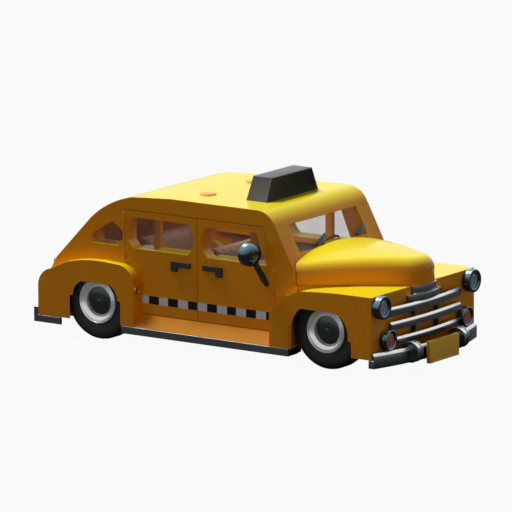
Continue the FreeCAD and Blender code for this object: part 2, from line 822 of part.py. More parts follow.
def make_leaf(axle_x, seat_z, eye_z, reach, leaves):
    """One leaf spring: flat on its seat, rising to an eye at each end."""
    h = leaves
    return side_prism([
        (axle_x - reach, eye_z - 24.0), (axle_x - reach, eye_z), (axle_x - reach + 50.0, eye_z),
        (axle_x - 120.0, seat_z + h), (axle_x + 120.0, seat_z + h),
        (axle_x + reach - 50.0, eye_z), (axle_x + reach, eye_z), (axle_x + reach, eye_z - 24.0),
        (axle_x + 130.0, seat_z), (axle_x - 130.0, seat_z),
    ], rail_half[0] + 8.0, rail_half[1] - 8.0)


def make_springs():
    front = make_leaf(front_axle_x, 352.0, 400.0, 380.0, 26.0)
    rear = make_leaf(rear_axle_x, axle_z + 42.0, 512.0, 240.0, 26.0)
    return Part.makeCompound([front, mirrored(front), rear, mirrored(rear)])


def make_engine():
    return box(engine_x[0], engine_x[1], -engine_half, engine_half, engine_z[0], engine_z[1])


def make_shaft():
    return rod((rear_axle_x + 190.0, 0, shaft_z), (engine_x[0], 0, shaft_z), 30.0)


def make_fuel_tank():
    a = rear_axle_x
    return box(a - 620.0, a - 200.0, -rail_half[0] + 15.0, rail_half[0] - 15.0, 430.0, shelf_z)


def make_exhaust():
    """Pipe over the outriggers, silencer under the axle, and the tail pipe."""
    a = rear_axle_x
    y = -430.0
    radius = 22.0
    route = [(front_axle_x - 520.0, 170.0 + radius), (a + 470.0, 170.0 + radius), (a + 300.0, 315.0),
             (a - 380.0, 315.0), (a - 620.0, 178.0), (a - 800.0, 178.0)]
    pieces = [rod((a + 230.0, y, 315.0), (a - 280.0, y, 315.0), 60.0)]
    for (x0, z0), (x1, z1) in zip(route, route[1:]):
        pieces.append(rod((x0, y, z0), (x1, y, z1), radius))
    for x, z in route[1:-1]:
        pieces.append(Part.makeSphere(radius, FreeCAD.Vector(x, y, z)))
    return fused(pieces)


# ---------------------------------------------------------------- front dress
def bumper_bar(centre_x, end_x, half, z0, z1, thick):
    """A bowed bar: centre_x and end_x are its outer face at the middle and the ends."""
    turn = 1 if centre_x > end_x else -1
    inner = thick * turn
    return plan_prism([
        (end_x, -half),
        ((centre_x, 0.0), (end_x, half)),
        (end_x - inner, half),
        ((centre_x - inner, 0.0), (end_x - inner, -half)),
    ], z0, z1)


front_bar_z = (115.0, 281.0)
front_bar_x = (front_axle_x + 880.0, front_axle_x + 717.0)
guard = {"radius": 118.0, "z": 230.0, "half": (400.0, 500.0)}
rear_bar_z = (122.0, 292.0)
rear_bar_x = (rear_x, rear_axle_x - 835.0)
bar_thick = 30.0


def make_front_bumper():
    centre, end = front_bar_x
    half = fender_half - 1.0
    pieces = [bumper_bar(centre, end, half, front_bar_z[0], front_bar_z[1], bar_thick)]
    guard_x = front_x - guard["radius"]
    y0, y1 = guard["half"]
    for s in (-1, 1):
        pieces.append(rod((guard_x, s * y0, guard["z"]), (guard_x, s * y1, guard["z"]), guard["radius"]))
        # the lower part of each end reaches back under the fender
        pieces.append(box(nose_face_x - 37.0, end - 2.0, s * (half - bar_thick), s * half,
                          front_bar_z[0], fender_bottom_z - 3.0))
        iron_x = front_axle_x + 480.0
        pieces.append(box(iron_x, centre - 45.0, s * 290.0, s * 350.0, 130.0, 196.0))
        pieces.append(box(iron_x, iron_x + 60.0, s * 290.0, s * 350.0, 130.0, 400.0))
    return fused(pieces)


def make_rear_bumper():
    centre, end = rear_bar_x
    pieces = [bumper_bar(centre, end, fender_half, rear_bar_z[0], rear_bar_z[1], bar_thick)]
    for s in (-1, 1):
        y0 = s * (fender_half - bar_thick)
        y1 = s * fender_half
        pieces.append(box(end, rear_fender_back_x - 6.0, y0, y1, rear_bar_z[0], rear_bar_z[1]))
        pieces.append(box(end, rear_axle_x - 470.0, y0, y1, rear_bar_z[0], fender_bottom_z - 6.0))
        iron_x = rear_axle_x - 640.0
        pieces.append(box(centre + 20.0, iron_x, s * 290.0, s * 350.0, 130.0, 196.0))
        pieces.append(box(iron_x - 60.0, iron_x, s * 290.0, s * 350.0, 130.0, 300.0))
    return fused(pieces)


grille_bars = [                 # bottom z, top z, half width
    (322.0, 394.0, 760.0),
    (480.0, 568.0, 812.0),
    (630.0, 727.0, 712.0),
]
grille_blocks = [               # bottom z, top z, half width, stand-out
    (732.0, 800.0, 322.0, 96.0),
    (800.0, 884.0, 229.0, 80.0),
]


def make_grille():
    pieces = []
    for z0, z1, half in grille_bars:
        pieces.append(bumper_bar(nose_face_x + 92.0, nose_face_x + 26.0, half, z0, z1, 26.0))
    for z0, z1, half, out in grille_blocks:
        pieces.append(plan_prism([
            (nose_face_x, -half), (nose_face_x + out * 0.3, -half),
            ((nose_face_x + out, 0.0), (nose_face_x + out * 0.3, half)), (nose_face_x, half),
        ], z0, z1))
    # uprights behind the bars hold them on the nose panel
    for y in (-220.0, 220.0):
        pieces.append(box(nose_face_x, nose_face_x + 66.0, y - 15.0, y + 15.0, 326.0, 810.0))
    front, y, z, radius = fog_lamp
    whole = fused(pieces)
    for s in (-1, 1):
        whole = whole.cut(rod((nose_face_x, s * y, z), (front, s * y, z), radius))
    return whole


def make_nose_panel():
    half = apron_half - skin
    top = 886.0
    face = box(nose_face_x - skin, nose_face_x, -half, half, fender_bottom_z, top)
    # a top plate closes the corners beside the narrow end of the hood
    plate = box(front_axle_x + 380.0, nose_face_x, -half, half, top - skin, top)
    x0, x1 = cowl_x, nose_face_x - 60.0
    mouth = plan_prism([
        (x0, -hood_half_at(x0) + 40.0), (x1, -hood_half_at(x1) + 40.0),
        (x1, hood_half_at(x1) - 40.0), (x0, hood_half_at(x0) - 40.0),
    ], top - skin - 1, top + 1)
    return fused([face, plate.cut(mouth)])


lens_radius = 83.0
lens_dome = 116.0               # radius of the lens surface
lens_recess = 12.0
lamp_floor = 40.0               # depth of solid behind the lens


def make_lamp(x0, x1, y, z, radius):
    tube = rod((x0, y, z), (x1, y, z), radius)
    bore = rod((x0 + lamp_floor, y, z), (x1 + 1.0, y, z), lens_radius)
    lens = Part.makeSphere(lens_dome, FreeCAD.Vector(x1 - lens_recess - lens_dome, y, z))
    lens = lens.common(rod((x0 + lamp_floor, y, z), (x1, y, z), lens_radius))
    return fused([tube.cut(bore), lens])


headlamp = (front_axle_x + 777.0, 872.0, 768.0, 128.0)
fog_lamp = (front_axle_x + 775.0, 747.0, 394.0, 112.0)


def make_front_lamps():
    solids = []
    for x1, y, z, radius in (headlamp, fog_lamp):
        lamp = make_lamp(nose_face_x, x1, y, z, radius)
        solids += [lamp, mirrored(lamp)]
    return Part.makeCompound(solids)


def make_tail_lamps():
    x = tail_run[0][0]
    lamp = rod((x + 20.0, 769.0, 776.0), (x - 112.0, 769.0, 776.0), 48.0)
    lamp = lamp.cut(side_prism(cabin_outline(0.0, board_z[1]), 600.0, side_half))
    return both(lamp)


plate_size = (282.0, 242.0, 50.0)       # half width, height, thickness
plate_low_z = 78.0


def make_plates():
    half, height, thick = plate_size
    front = box(front_x - thick, front_x, -half, half, plate_low_z, plate_low_z + height)
    front_stay = box(front_bar_x[0], front_x - thick, -120.0, 120.0, 130.0, 230.0)
    front = fused([front, front_stay])
    back_x = tail_x
    rear = box(back_x - 16.0, back_x, -160.0, 160.0, 380.0, 540.0)
    return Part.makeCompound([front, rear])


sign_base = (rear_axle_x + 1678.0, rear_axle_x + 1948.0, 492.0)
sign_top = (rear_axle_x + 1694.0, rear_axle_x + 1945.0, 379.0)
sign_top_z = 1913.0


def make_sign():
    faces = []
    for (x0, x1, half), z in ((sign_base, roof_z), (sign_top, sign_top_z)):
        corners = [(x0, -half), (x1, -half), (x1, half), (x0, half)]
        points = [FreeCAD.Vector(x, y, z) for x, y in corners]
        faces.append(Part.makePolygon(points + points[:1]))
    return Part.makeLoft(faces, True, True)


wiper_blades = [                # (y, z) of the foot and of the tip of each
    ((-300.0, 1222.0), (-90.0, 1290.0)),
    ((440.0, 1206.0), (640.0, 1272.0)),
]


def make_wipers():
    dx = pillar_foot[0] - header_low[0]
    dz = header_low[1] - pillar_foot[1]
    length = math.hypot(dx, dz)
    out = FreeCAD.Vector(dz / length, 0, dx / length)
    solids = []
    for blade in wiper_blades:
        ends = []
        for y, z in blade:
            x = pillar_foot[0] - dx * (z - pillar_foot[1]) / dz
            ends.append(FreeCAD.Vector(x, y, z) + out * 14.0)
        arm = rod(tuple(ends[0]), tuple(ends[1]), 13.0)
        pivot = rod(tuple(ends[0] + (ends[1] - ends[0]) * 0.2),
                    tuple(ends[0] + (ends[1] - ends[0]) * 0.2 - out * (14.0 + windshield_recess)), 9.0)
        solids.append(fused([arm, pivot]))
    return Part.makeCompound(solids)


# ---------------------------------------------------------------- cabin parts
windshield_z = (1196.0, door_top_z + 9.0)
windshield_half = inner_half - 4.0
windshield_recess = 24.0


def windshield_band(half, recess, thick, grow):
    dx = pillar_foot[0] - header_low[0]
    dz = header_low[1] - pillar_foot[1]
    length = math.hypot(dx, dz)
    nx, nz = dz / length, dx / length
    corners = []
    for z, out in ((windshield_z[0] - grow, -recess), (windshield_z[1] + grow, -recess),
                   (windshield_z[1] + grow, -recess - thick), (windshield_z[0] - grow, -recess - thick)):
        x = pillar_foot[0] - dx * (z - pillar_foot[1]) / dz
        corners.append((x + out * nx, z + out * nz))
    return side_prism(corners, -half, half)


def make_fixed_windows():
    shield = windshield_band(windshield_half, windshield_recess, pane_thick, 0.0)
    back = tail_band(rear_window_z[0], rear_window_z[1], 14.0 + pane_thick, rear_window_half, -14.0)
    quarter = make_pane(quarter_window_outline(), side_half - pane_depth)
    return Part.makeCompound([shield, back, quarter, mirrored(quarter)])


def make_seat(x_front, depth, base_z, cushion_top, back_top, half, lean):
    """A bench: a base, a cushion on it and a leaning back."""
    x_back = x_front - depth
    base = box(x_front - 60.0, x_back, -half + 40.0, half - 40.0, base_z, cushion_top - 150.0)
    cushion = box(x_front, x_back, -half, half, cushion_top - 150.0, cushion_top)
    back = side_prism([
        (x_back + 10.0, base_z + 150.0), (x_back + 10.0, cushion_top), (x_back - lean, back_top),
        (x_back - lean - 110.0, back_top), (x_back - 140.0, base_z + 150.0),
    ], -half, half)
    return fused([base, cushion, back])


wheel_centre = (rear_axle_x + 2130.0 + (wheelbase - 2970.0), 370.0, 1010.0)
column_foot = (cowl_x - roof_thick, 370.0, 760.0)
steering_radius = 205.0


def column_axis():
    run = FreeCAD.Vector(*wheel_centre) - FreeCAD.Vector(*column_foot)
    return run.normalize()


def make_steering_wheel():
    centre = FreeCAD.Vector(*wheel_centre)
    axis = column_axis()
    rim = Part.makeTorus(steering_radius, 13.0, centre, axis)
    hub = Part.makeCylinder(38.0, 40.0, centre - axis * 25.0, axis)
    across = axis.cross(FreeCAD.Vector(0, 1, 0)).normalize()
    side = FreeCAD.Vector(0, 1, 0)
    pieces = [rim, hub]
    for spoke in (side, side * -1, across * (1 if across.z < 0 else -1)):
        end = centre + spoke * steering_radius
        pieces.append(rod(tuple(centre), tuple(end), 9.0))
    return fused(pieces)


def make_dashboard():
    x1 = cowl_x - roof_thick
    x0 = x1 - 330.0
    dash = side_prism([
        (x0, 880.0), (x0, 1010.0), (x0 + 60.0, 1046.0), (x1 - 60.0, 1046.0), (x1 - 60.0, 880.0),
    ], -inner_half, inner_half)
    axis = column_axis()
    end = FreeCAD.Vector(*wheel_centre) - axis * (25.0 + seat_gap)
    column = rod(column_foot, tuple(end), 26.0)
    column = column.cut(box(cowl_x - roof_thick, cowl_x, 200.0, 500.0, 600.0, 900.0))
    return fused([dash, column])


def make_side_sill():
    """Sill with its sloping face, and the post that the doors close against."""
    x0 = rear_fender_front_x
    x1 = front_fender_back_x
    top = sill_top_z
    sill = cross_prism([
        (inner_half, fender_bottom_z), (inner_half, top), (side_half, top), (side_half, 337.0),
        (fender_half - 2.0, 212.0), (fender_half - 2.0, fender_bottom_z),
    ], x0, x1)
    sill = sill.cut(box(x0 - 1, rear_door_low_x - gap, inner_half - 1, side_half, 0, 2000))
    sill = sill.cut(box(front_door_x + gap, x1 + 500, inner_half - 1, side_half, 0, 2000))
    post_out = side_half - door_thick - gap
    post = box(b_post_x - 55.0, b_post_x + 55.0, inner_half, post_out, top, door_top_z)
    return fused([sill, post])


def make_running_board():
    x0 = rear_axle_x + 353.0
    x1 = front_axle_x - 398.0
    tread = box(x0 + 32.0, x1, 700.0, fender_half, board_z[0], board_z[1])
    edge = box(x0, x1, fender_half - 50.0, fender_half, board_z[0], board_z[1])
    # the front end is hollowed round the steered wheel
    return fused([tread, edge]).cut(swing_room(430.0, swing_top_z))


nodes = {}
shell = make_shell()

# the doors and the holes that they close
left_rear = make_door(rear_door_outline(0.0), rear_window_outline(), window_divider["rear"],
                      b_post_x - gap / 2, -1)
rear_leaves, rear_stays = hinge_parts(rear_hinge_x, rear_hinges, 1)
left_rear = fused([left_rear, make_handle(b_post_x, -1)] + rear_leaves)
left_front = make_door(front_door_outline(0.0), front_window_outline(), window_divider["front"],
                       b_post_x + gap / 2, 1)
front_leaves, front_stays = hinge_parts(front_hinge_x, front_hinges, -1)
left_front = fused([left_front, make_handle(b_post_x, 1)] + front_leaves)
stays = rear_stays + front_stays
nodes["door_hinges"] = Part.makeCompound(stays + [mirrored(stay) for stay in stays])
nodes["rear_door_left"] = left_rear
nodes["rear_door_right"] = mirrored(left_rear)
nodes["front_door_left"] = left_front
nodes["front_door_right"] = mirrored(left_front)
pane_y = side_half - pane_depth
for name, window in (("rear", rear_window_outline()), ("front", front_window_outline())):
    pane = make_pane(window, pane_y)
    nodes[name + "_door_glass_left"] = pane
    nodes[name + "_door_glass_right"] = mirrored(pane)
mirror = make_mirror()
nodes["mirror_left"] = mirror
nodes["mirror_right"] = mirrored(mirror)

# roof: all of the shell above the doors
roof = shell.common(box(rear_x, front_x, -999, 999, door_top_z, 1800))
cap = rod((rear_axle_x + 1135.0, 440.0, roof_z), (rear_axle_x + 1135.0, 440.0, roof_z + 12.0), 88.0)
nodes["roof"] = fused([roof, cap, mirrored(cap)])

# rear quarter: the wall behind the rear door, with its window and wheel well
quarter = side_prism(cabin_outline(0.0, board_z[1]), inner_half, side_half)
quarter = quarter.common(box(rear_x, rear_door_low_x, 0, 999, board_z[1], door_top_z))
quarter = quarter.cut(side_prism(rear_door_outline(gap), inner_half - 1, side_half + 1))
quarter = quarter.cut(box(rear_door_back_x - gap, rear_door_low_x + 1, inner_half - 1, side_half + 1, 910.0, 2000))
quarter = quarter.cut(box(rear_door_low_x - gap, rear_door_low_x + 1, inner_half - 1, side_half + 1, 0, 2000))
quarter = quarter.cut(side_prism(quarter_window_outline(), inner_half - 1, side_half + 1))
quarter = quarter.cut(wheel_well(inner_half + 8.0, side_half + 1, rear_axle_x, tyre_radius + 25.0))
quarter = quarter.cut(box(rear_axle_x - 60.0, rear_axle_x + 60.0, inner_half - 1, side_half, 0, axle_z + 60.0))
quarter = quarter.cut(box(rear_axle_x - 380.0, rear_axle_x + 380.0, inner_half + 8.0, side_half + 1, 0, axle_z))
nodes["quarter_panels"] = both(quarter)

# tail panel and trunk lid
tail = tail_skin()
lid = tail.common(lid_cutter(0.0))
tail = tail.cut(lid_cutter(gap))
tail = tail.cut(tail_band(rear_window_z[0], rear_window_z[1], 300.0, rear_window_half, 300.0))
rest_pads = [box(tail_x + 8.0 + 20.0, tail_x + tail_thick + 20.0, y - 25.0, y + 25.0,
                 lid_bottom_z - 30.0, lid_bottom_z - seat_gap) for y in (-400.0, 400.0)]
lid_axis = on_tail(lid_hinge_z, lid_axis_out)
lid_stays = cross_hinge(lid_axis, lid_hinge_half + cross_width + seat_gap, lid_hinge_arm(1))
nodes["tail_panel"] = fused([tail] + rest_pads + lid_stays)
nodes["trunk_lid"] = fused([lid] + cross_hinge(lid_axis, lid_hinge_half, lid_hinge_arm(-1)))

# cowl: windshield pillars, the wall under the windshield and the firewall
cowl = shell.common(box(front_door_x - 400.0, front_x, -999, 999, board_z[1], door_top_z))
cowl = cowl.common(box(front_door_x - 400.0, front_x, -999, 999, board_z[1], 2000))
for s in (-1, 1):
    hole = side_prism(front_door_outline(gap), s * (inner_half - 1), s * (side_half + 1))
    cowl = cowl.cut(hole)
behind = plan_prism([(front_door_x - 450.0, -999), (front_door_x + gap, -999), (front_door_x + gap, 999),
                     (front_door_x - 450.0, 999)], 0, 1072.0)
cowl = cowl.cut(behind)
cowl = cowl.cut(windshield_band(windshield_half, -200.0, 600.0, 0.0))
cowl = cowl.cut(rail_notch(cowl_x - 100.0, cowl_x + 10.0))
cowl = cowl.cut(box(cowl_x - 100.0, cowl_x + 10.0, -tunnel_half, tunnel_half, 0.0, tunnel_top_z))
# the wheel wells bulge through the foot of the firewall
well_drum = swing_room(swing_radius + well_sheet, swing_top_z + well_sheet)
well = well_drum.common(box(cowl_x - 200.0, cowl_x, apron_half, side_half, board_z[1], 2000))
swing = swing_room(swing_radius, swing_top_z)
cowl = fused([cowl, well, mirrored(well)] + hood_hinge_stays()).cut(swing).cut(mirrored(swing))
nodes["cowl"] = cowl

fender = make_front_fender()
nodes["front_fenders"] = both(fender)
nodes["rear_fenders"] = both(make_rear_fender())
nodes["hood"] = make_hood()
nodes["nose_panel"] = make_nose_panel()
nodes["grille"] = make_grille()
nodes["front_bumper"] = make_front_bumper()
nodes["rear_bumper"] = make_rear_bumper()
nodes["number_plates"] = make_plates()
nodes["front_lamps"] = make_front_lamps()
nodes["tail_lamps"] = make_tail_lamps()
nodes["roof_sign"] = make_sign()
nodes["wipers"] = make_wipers()
nodes["fixed_windows"] = make_fixed_windows()
nodes["side_sills"] = both(make_side_sill())
nodes["running_boards"] = both(make_running_board())

rail = make_rail()
nodes["frame_rail_left"] = rail
nodes["frame_rail_right"] = mirrored(rail)
nodes["frame_crossmembers"] = make_crossmembers()
nodes["floor_pan"] = make_floor()
nodes["front_axle"] = make_front_axle()
nodes["rear_axle"] = make_rear_axle()
nodes["leaf_springs"] = make_springs()
nodes["propeller_shaft"] = make_shaft()
nodes["engine_block"] = make_engine()
nodes["fuel_tank"] = make_fuel_tank()
nodes["exhaust"] = make_exhaust()
tunnel_room = box(floor_heel_x - 100.0, cowl_x, -tunnel_half, tunnel_half, 0.0, tunnel_top_z)
shelf_room = box(rear_x, floor_heel_x, -side_half, side_half, 0.0, shelf_z + floor_z[1] - floor_z[0])
nodes["front_seat"] = make_seat(b_post_x + 640.0, 520.0, floor_z[1], 580.0, 1120.0, inner_half - 54.0,
                                90.0).cut(tunnel_room)
nodes["rear_seat"] = make_seat(rear_axle_x + 880.0, 470.0, floor_z[1], 660.0, 1130.0, inner_half - 94.0,
                               60.0).cut(tunnel_room).cut(shelf_room)
nodes["dashboard"] = make_dashboard()
nodes["steering_wheel"] = make_steering_wheel()
nodes["tie_rod"] = make_tie_rod()

for name, s in (("left", 1), ("right", -1)):
    knuckle = make_knuckle()
    front_tyre = make_tyre(front_axle_x, front_tyre_outer)
    front_wheel = make_wheel(front_axle_x, front_tyre_outer)
    rear_tyre = make_tyre(rear_axle_x, rear_tyre_outer)
    rear_wheel = make_wheel(rear_axle_x, rear_tyre_outer)
    rolled = {"knuckle": knuckle, "front_tyre": front_tyre, "front_wheel": front_wheel,
              "rear_tyre": rear_tyre, "rear_wheel": rear_wheel}
    for kind, shape in rolled.items():
        nodes[kind + "_" + name] = shape if s > 0 else mirrored(shape)

os.makedirs("parts", exist_ok=True)
for name, shape in nodes.items():
    shape.exportStep("parts/" + name + ".step")
    bounds = shape.BoundBox
    print("%-24s solids %d valid %s volume %.4f m3 x %.0f..%.0f y %.0f..%.0f z %.0f..%.0f" % (
        name, len(shape.Solids), shape.isValid(), shape.Volume / 1e9, bounds.XMin, bounds.XMax,
        bounds.YMin, bounds.YMax, bounds.ZMin, bounds.ZMax))
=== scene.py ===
# %% [markdown]
# # A taxi cab, finished in Blender
# The CAD model of the cab is the frame of this scene: it fixes every size, place and joint.
# Here each part that shows gets its real surface shape and its finish. We load the frame
# first.

# %% Load the frame
import bpy
import json
import math
from mathutils import Matrix, Vector

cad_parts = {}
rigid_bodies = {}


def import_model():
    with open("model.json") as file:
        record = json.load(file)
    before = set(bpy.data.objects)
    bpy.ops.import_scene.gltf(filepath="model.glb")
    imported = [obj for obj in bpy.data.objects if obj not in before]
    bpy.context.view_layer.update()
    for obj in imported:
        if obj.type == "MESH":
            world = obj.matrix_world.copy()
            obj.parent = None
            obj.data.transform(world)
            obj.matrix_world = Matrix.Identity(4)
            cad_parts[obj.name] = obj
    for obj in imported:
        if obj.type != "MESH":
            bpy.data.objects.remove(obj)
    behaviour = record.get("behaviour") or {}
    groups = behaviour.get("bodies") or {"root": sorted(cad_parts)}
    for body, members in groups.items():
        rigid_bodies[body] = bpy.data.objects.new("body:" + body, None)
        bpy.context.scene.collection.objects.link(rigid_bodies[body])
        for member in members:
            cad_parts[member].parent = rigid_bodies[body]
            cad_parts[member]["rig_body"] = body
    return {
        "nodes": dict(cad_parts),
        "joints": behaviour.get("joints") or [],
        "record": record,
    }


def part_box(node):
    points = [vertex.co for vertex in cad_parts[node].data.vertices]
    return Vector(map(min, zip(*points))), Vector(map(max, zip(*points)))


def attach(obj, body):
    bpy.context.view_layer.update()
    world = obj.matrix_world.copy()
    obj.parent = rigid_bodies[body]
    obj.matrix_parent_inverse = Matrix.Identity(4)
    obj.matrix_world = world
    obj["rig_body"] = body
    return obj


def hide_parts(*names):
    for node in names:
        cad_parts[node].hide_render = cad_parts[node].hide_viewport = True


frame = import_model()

nodes = frame["nodes"]
joints = {joint["name"]: joint for joint in frame["joints"]}
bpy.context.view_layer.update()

# %% [markdown]
# ## Camera
# The cab is seen from its front right, about 12 degrees above the ground, through a very
# long lens, so that its parallel edges stay nearly parallel. A matrix sets the camera in
# one step: its columns are the camera's right, up and backward directions and its place.

# %% Place the camera
right = (0.81868072, 0.5742202, -0.00574749)
up = (-0.10768217, 0.16334106, 0.9806754)
back = (0.56406243, -0.80224115, 0.19555745)
place = (41.7991, -59.5299, 15.4482)
camera_data = bpy.data.cameras.new("camera")
camera_data.lens = 477.8
camera_data.sensor_width = 36.0
camera_data.clip_end = 400.0
camera = bpy.data.objects.new("camera", camera_data)
bpy.context.scene.collection.objects.link(camera)
camera.matrix_world = Matrix([
    [right[row], up[row], back[row], place[row]] for row in range(3)] + [[0, 0, 0, 1]])
bpy.context.scene.camera = camera
bpy.context.scene.view_settings.view_transform = "Standard"
print("camera is", round(Vector(place).length, 1), "m away")

# %% [markdown]
# ## Shader maths
# Materials are built from nodes. To keep them readable, a small class wraps a socket so
# that ordinary arithmetic adds the Math nodes, and one method makes any other node from
# its type, its settings and its socket values.

# %% Sockets that can be added, multiplied and compared
class Socket:
    """The output of a node, ready for arithmetic."""

    def __init__(self, tree, output):
        self.tree = tree
        self.output = output

    def math(self, operation, *values):
        return self.tree.node("ShaderNodeMath", {"operation": operation}, dict(enumerate(values)))

    def __add__(self, other):
        return self.math("ADD", self, other)

    def __sub__(self, other):
        return self.math("SUBTRACT", self, other)

    def __rsub__(self, other):
        return self.math("SUBTRACT", other, self)

    def __mul__(self, other):
        return self.math("MULTIPLY", self, other)

    def __gt__(self, other):
        return self.math("GREATER_THAN", self, other)

    def __lt__(self, other):
        return self.math("LESS_THAN", self, other)

    def __abs__(self):
        return self.math("ABSOLUTE", self)

    def wave(self):
        return self.math("SINE", self)

    def clamped(self):
        return self.math("MINIMUM", self.math("MAXIMUM", self, 0.0), 1.0)

    __radd__ = __add__


# %% A node tree, and a finish that is one material
class NodeTree:
    """A tree of nodes, with the one method that adds to it."""

    def __init__(self, tree):
        self.nodes = tree.nodes
        self.links = tree.links

    def node(self, kind, settings=None, sockets=None, output=0):
        """Add a node: its settings come first, then the values or links of its sockets."""
        new = self.nodes.new(kind)
        for name, value in (settings or {}).items():
            setattr(new, name, value)
        for name, value in (sockets or {}).items():
            self.set(new, name, value)
        return Socket(self, new.outputs[output])

    def set(self, node, name, value):
        """Give a node's socket a constant, or link it."""
        if isinstance(value, Socket):
            self.links.new(value.output, node.inputs[name])
        else:
            node.inputs[name].default_value = value


class Finish(NodeTree):
    """A material around one Principled shader."""

    def __init__(self, name, colour, roughness, **fixed):
        self.material = bpy.data.materials.new(name)
        self.material.use_nodes = True
        super().__init__(self.material.node_tree)
        self.shader = self.nodes["Principled BSDF"]
        self.look("Base Color", (*colour, 1.0))
        self.look("Roughness", roughness)
        for socket, value in fixed.items():
            self.look(socket.replace("_", " "), value)

    def look(self, socket, value):
        """Set one socket of the shader."""
        self.set(self.shader, socket, value)

    def point(self):
        """The point on the object, in metres."""
        return self.node("ShaderNodeTexCoord", output="Object")

    def axis(self, letter, vector):
        """The X, Y or Z of a vector."""
        return self.node("ShaderNodeSeparateXYZ", sockets={0: vector}, output=letter)

    def facing_up(self):
        """1 where the surface faces the sky, 0 upright, -1 facing the ground."""
        return self.axis("Z", self.node("ShaderNodeTexCoord", output="Normal"))

    def noise(self, scale, detail=2.0, stretch=(1.0, 1.0, 1.0)):
        moved = self.node("ShaderNodeMapping", sockets={"Vector": self.point(), "Scale": stretch})
        return self.node("ShaderNodeTexNoise", sockets={"Vector": moved, "Scale": scale, "Detail": detail})

    def blend(self, amount, low, high):
        """A colour between low and high. Inputs 6 and 7 and output 2 of a Mix node are its colours."""
        sockets = {0: amount}
        for number, colour in ((6, low), (7, high)):
            sockets[number] = colour if isinstance(colour, Socket) else (*colour, 1.0)
        return self.node("ShaderNodeMix", {"data_type": "RGBA"}, sockets, output=2)

    def bump(self, height, strength, distance):
        self.look("Normal", self.node("ShaderNodeBump", sockets={
            "Height": height, "Strength": strength, "Distance": distance}))


# %% [markdown]
# ## Floor, background and light
# The cab stands in plain white. The floor takes the cab's shadow, and most of what the
# camera sees of it is replaced by white, so the shadow stays soft and pale. One broad
# lamp stands for the sky above and the world fills the shaded side. The cabin has its own
# small roof lamp, as a cab does, so that the seats can be seen through the windows.

# %% Floor
def nothing_selected():
    if bpy.context.object and bpy.context.object.mode != "OBJECT":
        bpy.ops.object.mode_set(mode="OBJECT")
    bpy.ops.object.select_all(action="DESELECT")


nothing_selected()
bpy.ops.mesh.primitive_plane_add(size=400.0, location=(0, 0, 0))
floor = bpy.context.object
floor.name = "studio_floor"
floor_finish = Finish("studio_floor", (0.18, 0.18, 0.18), 0.9, Specular_IOR_Level=0.0)
white_share = 0.94
seen = floor_finish.node("ShaderNodeLightPath", output="Is Camera Ray")
white = floor_finish.node("ShaderNodeEmission", sockets={"Color": (1, 1, 1, 1), "Strength": 1.0})
surface = Socket(floor_finish, floor_finish.shader.outputs[0])
mixed = floor_finish.node("ShaderNodeMixShader", sockets={0: seen * white_share, 1: surface, 2: white})
floor_finish.set(floor_finish.nodes["Material Output"], "Surface", mixed)
floor.data.materials.append(floor_finish.material)
print("floor", floor.dimensions[:2])

# %% World and lamps
world = bpy.data.worlds.new("studio")
bpy.context.scene.world = world
world.use_nodes = True
sky = NodeTree(world.node_tree)
sky.nodes.clear()
shows_page = 0.0
for ray in ("Is Camera Ray", "Is Glossy Ray", "Is Transmission Ray"):
    met = sky.node("ShaderNodeLightPath", output=ray)
    shows_page = met.math("MAXIMUM", met, shows_page)
fill = sky.node("ShaderNodeBackground", sockets={"Color": (0.155, 0.155, 0.16, 1)})
page = sky.node("ShaderNodeBackground", sockets={"Color": (1, 1, 1, 1)})
choice = sky.node("ShaderNodeMixShader", sockets={0: shows_page, 1: fill, 2: page})
sky.set(sky.nodes.new("ShaderNodeOutputWorld"), "Surface", choice)


def lamp(name, kind, strength, **settings):
    """A lamp with its own settings, ready to be placed."""
    light = bpy.data.lights.new(name, kind)
    light.energy = strength
    for setting, value in settings.items():
        setattr(light, setting, value)
    shining = bpy.data.objects.new(name, light)
    bpy.context.scene.collection.objects.link(shining)
    return shining


towards_sky = Vector((-0.46, 0.02, 0.89))
sky_light = lamp("sky_light", "SUN", 3.0, angle=0.35)
sky_light.rotation_euler = towards_sky.to_track_quat("Z", "Y").to_euler()
cabin_lamp = lamp("cabin_lamp", "AREA", 6.0, shape="RECTANGLE", size=1.5, size_y=0.7)
cabin_lamp.location = (-0.30, 0.0, 1.575)

# %% [markdown]
# ## Body paint
# The body is sprayed in a warm orange yellow under a clear coat. Sprayed paint is never one
# flat colour: it clouds a little, it has the fine ripple called orange peel, and dust
# gathers on it low down. Each of these is a noise of its own size. Where the sheet faces
# the sky, a paler yellow is painted in as painted light: the colour follows the direction
# that the surface faces, so the tops look lit. The sills lie in the shade of the doors and
# get none of this painted light, so they keep the full orange. The checker band and the
# metal door pulls lie on the door skins, so they are masks on the same paint, cut out by
# their height and their place along the car.

# %% Paint
paint_light = (1.0, 0.365, 0.002)
paint_deep = (0.93, 0.32, 0.0)
# painted light: the paler yellow painted on faces that look up, as if lit from above
painted_top_yellow = (1.0, 0.80, 0.012)
painted_top_start, painted_top_slope = 0.35, 1.7
dust = (0.30, 0.20, 0.10)
dust_top, dust_slope = 0.36, 3.0
checker_white = (0.80, 0.80, 0.76)
checker_black = (0.006, 0.006, 0.007)
checker_z = (0.465, 0.554)
checker_spans = [(-0.971, -0.221), (-0.208, 0.744)]
black_squares = [(-0.864, -0.729), (-0.609, -0.475), (-0.341, -0.221), (-0.088, 0.045),
                 (0.177, 0.296), (0.428, 0.560), (0.692, 0.744)]
pull_grey = (0.045, 0.058, 0.062)
pull_spans = [(-0.56, -0.28), (-0.14, 0.13)]
pull_z = (0.855, 0.978)
door_skin_y = 0.884
skin_slack, pull_relief = 0.002, 0.0006


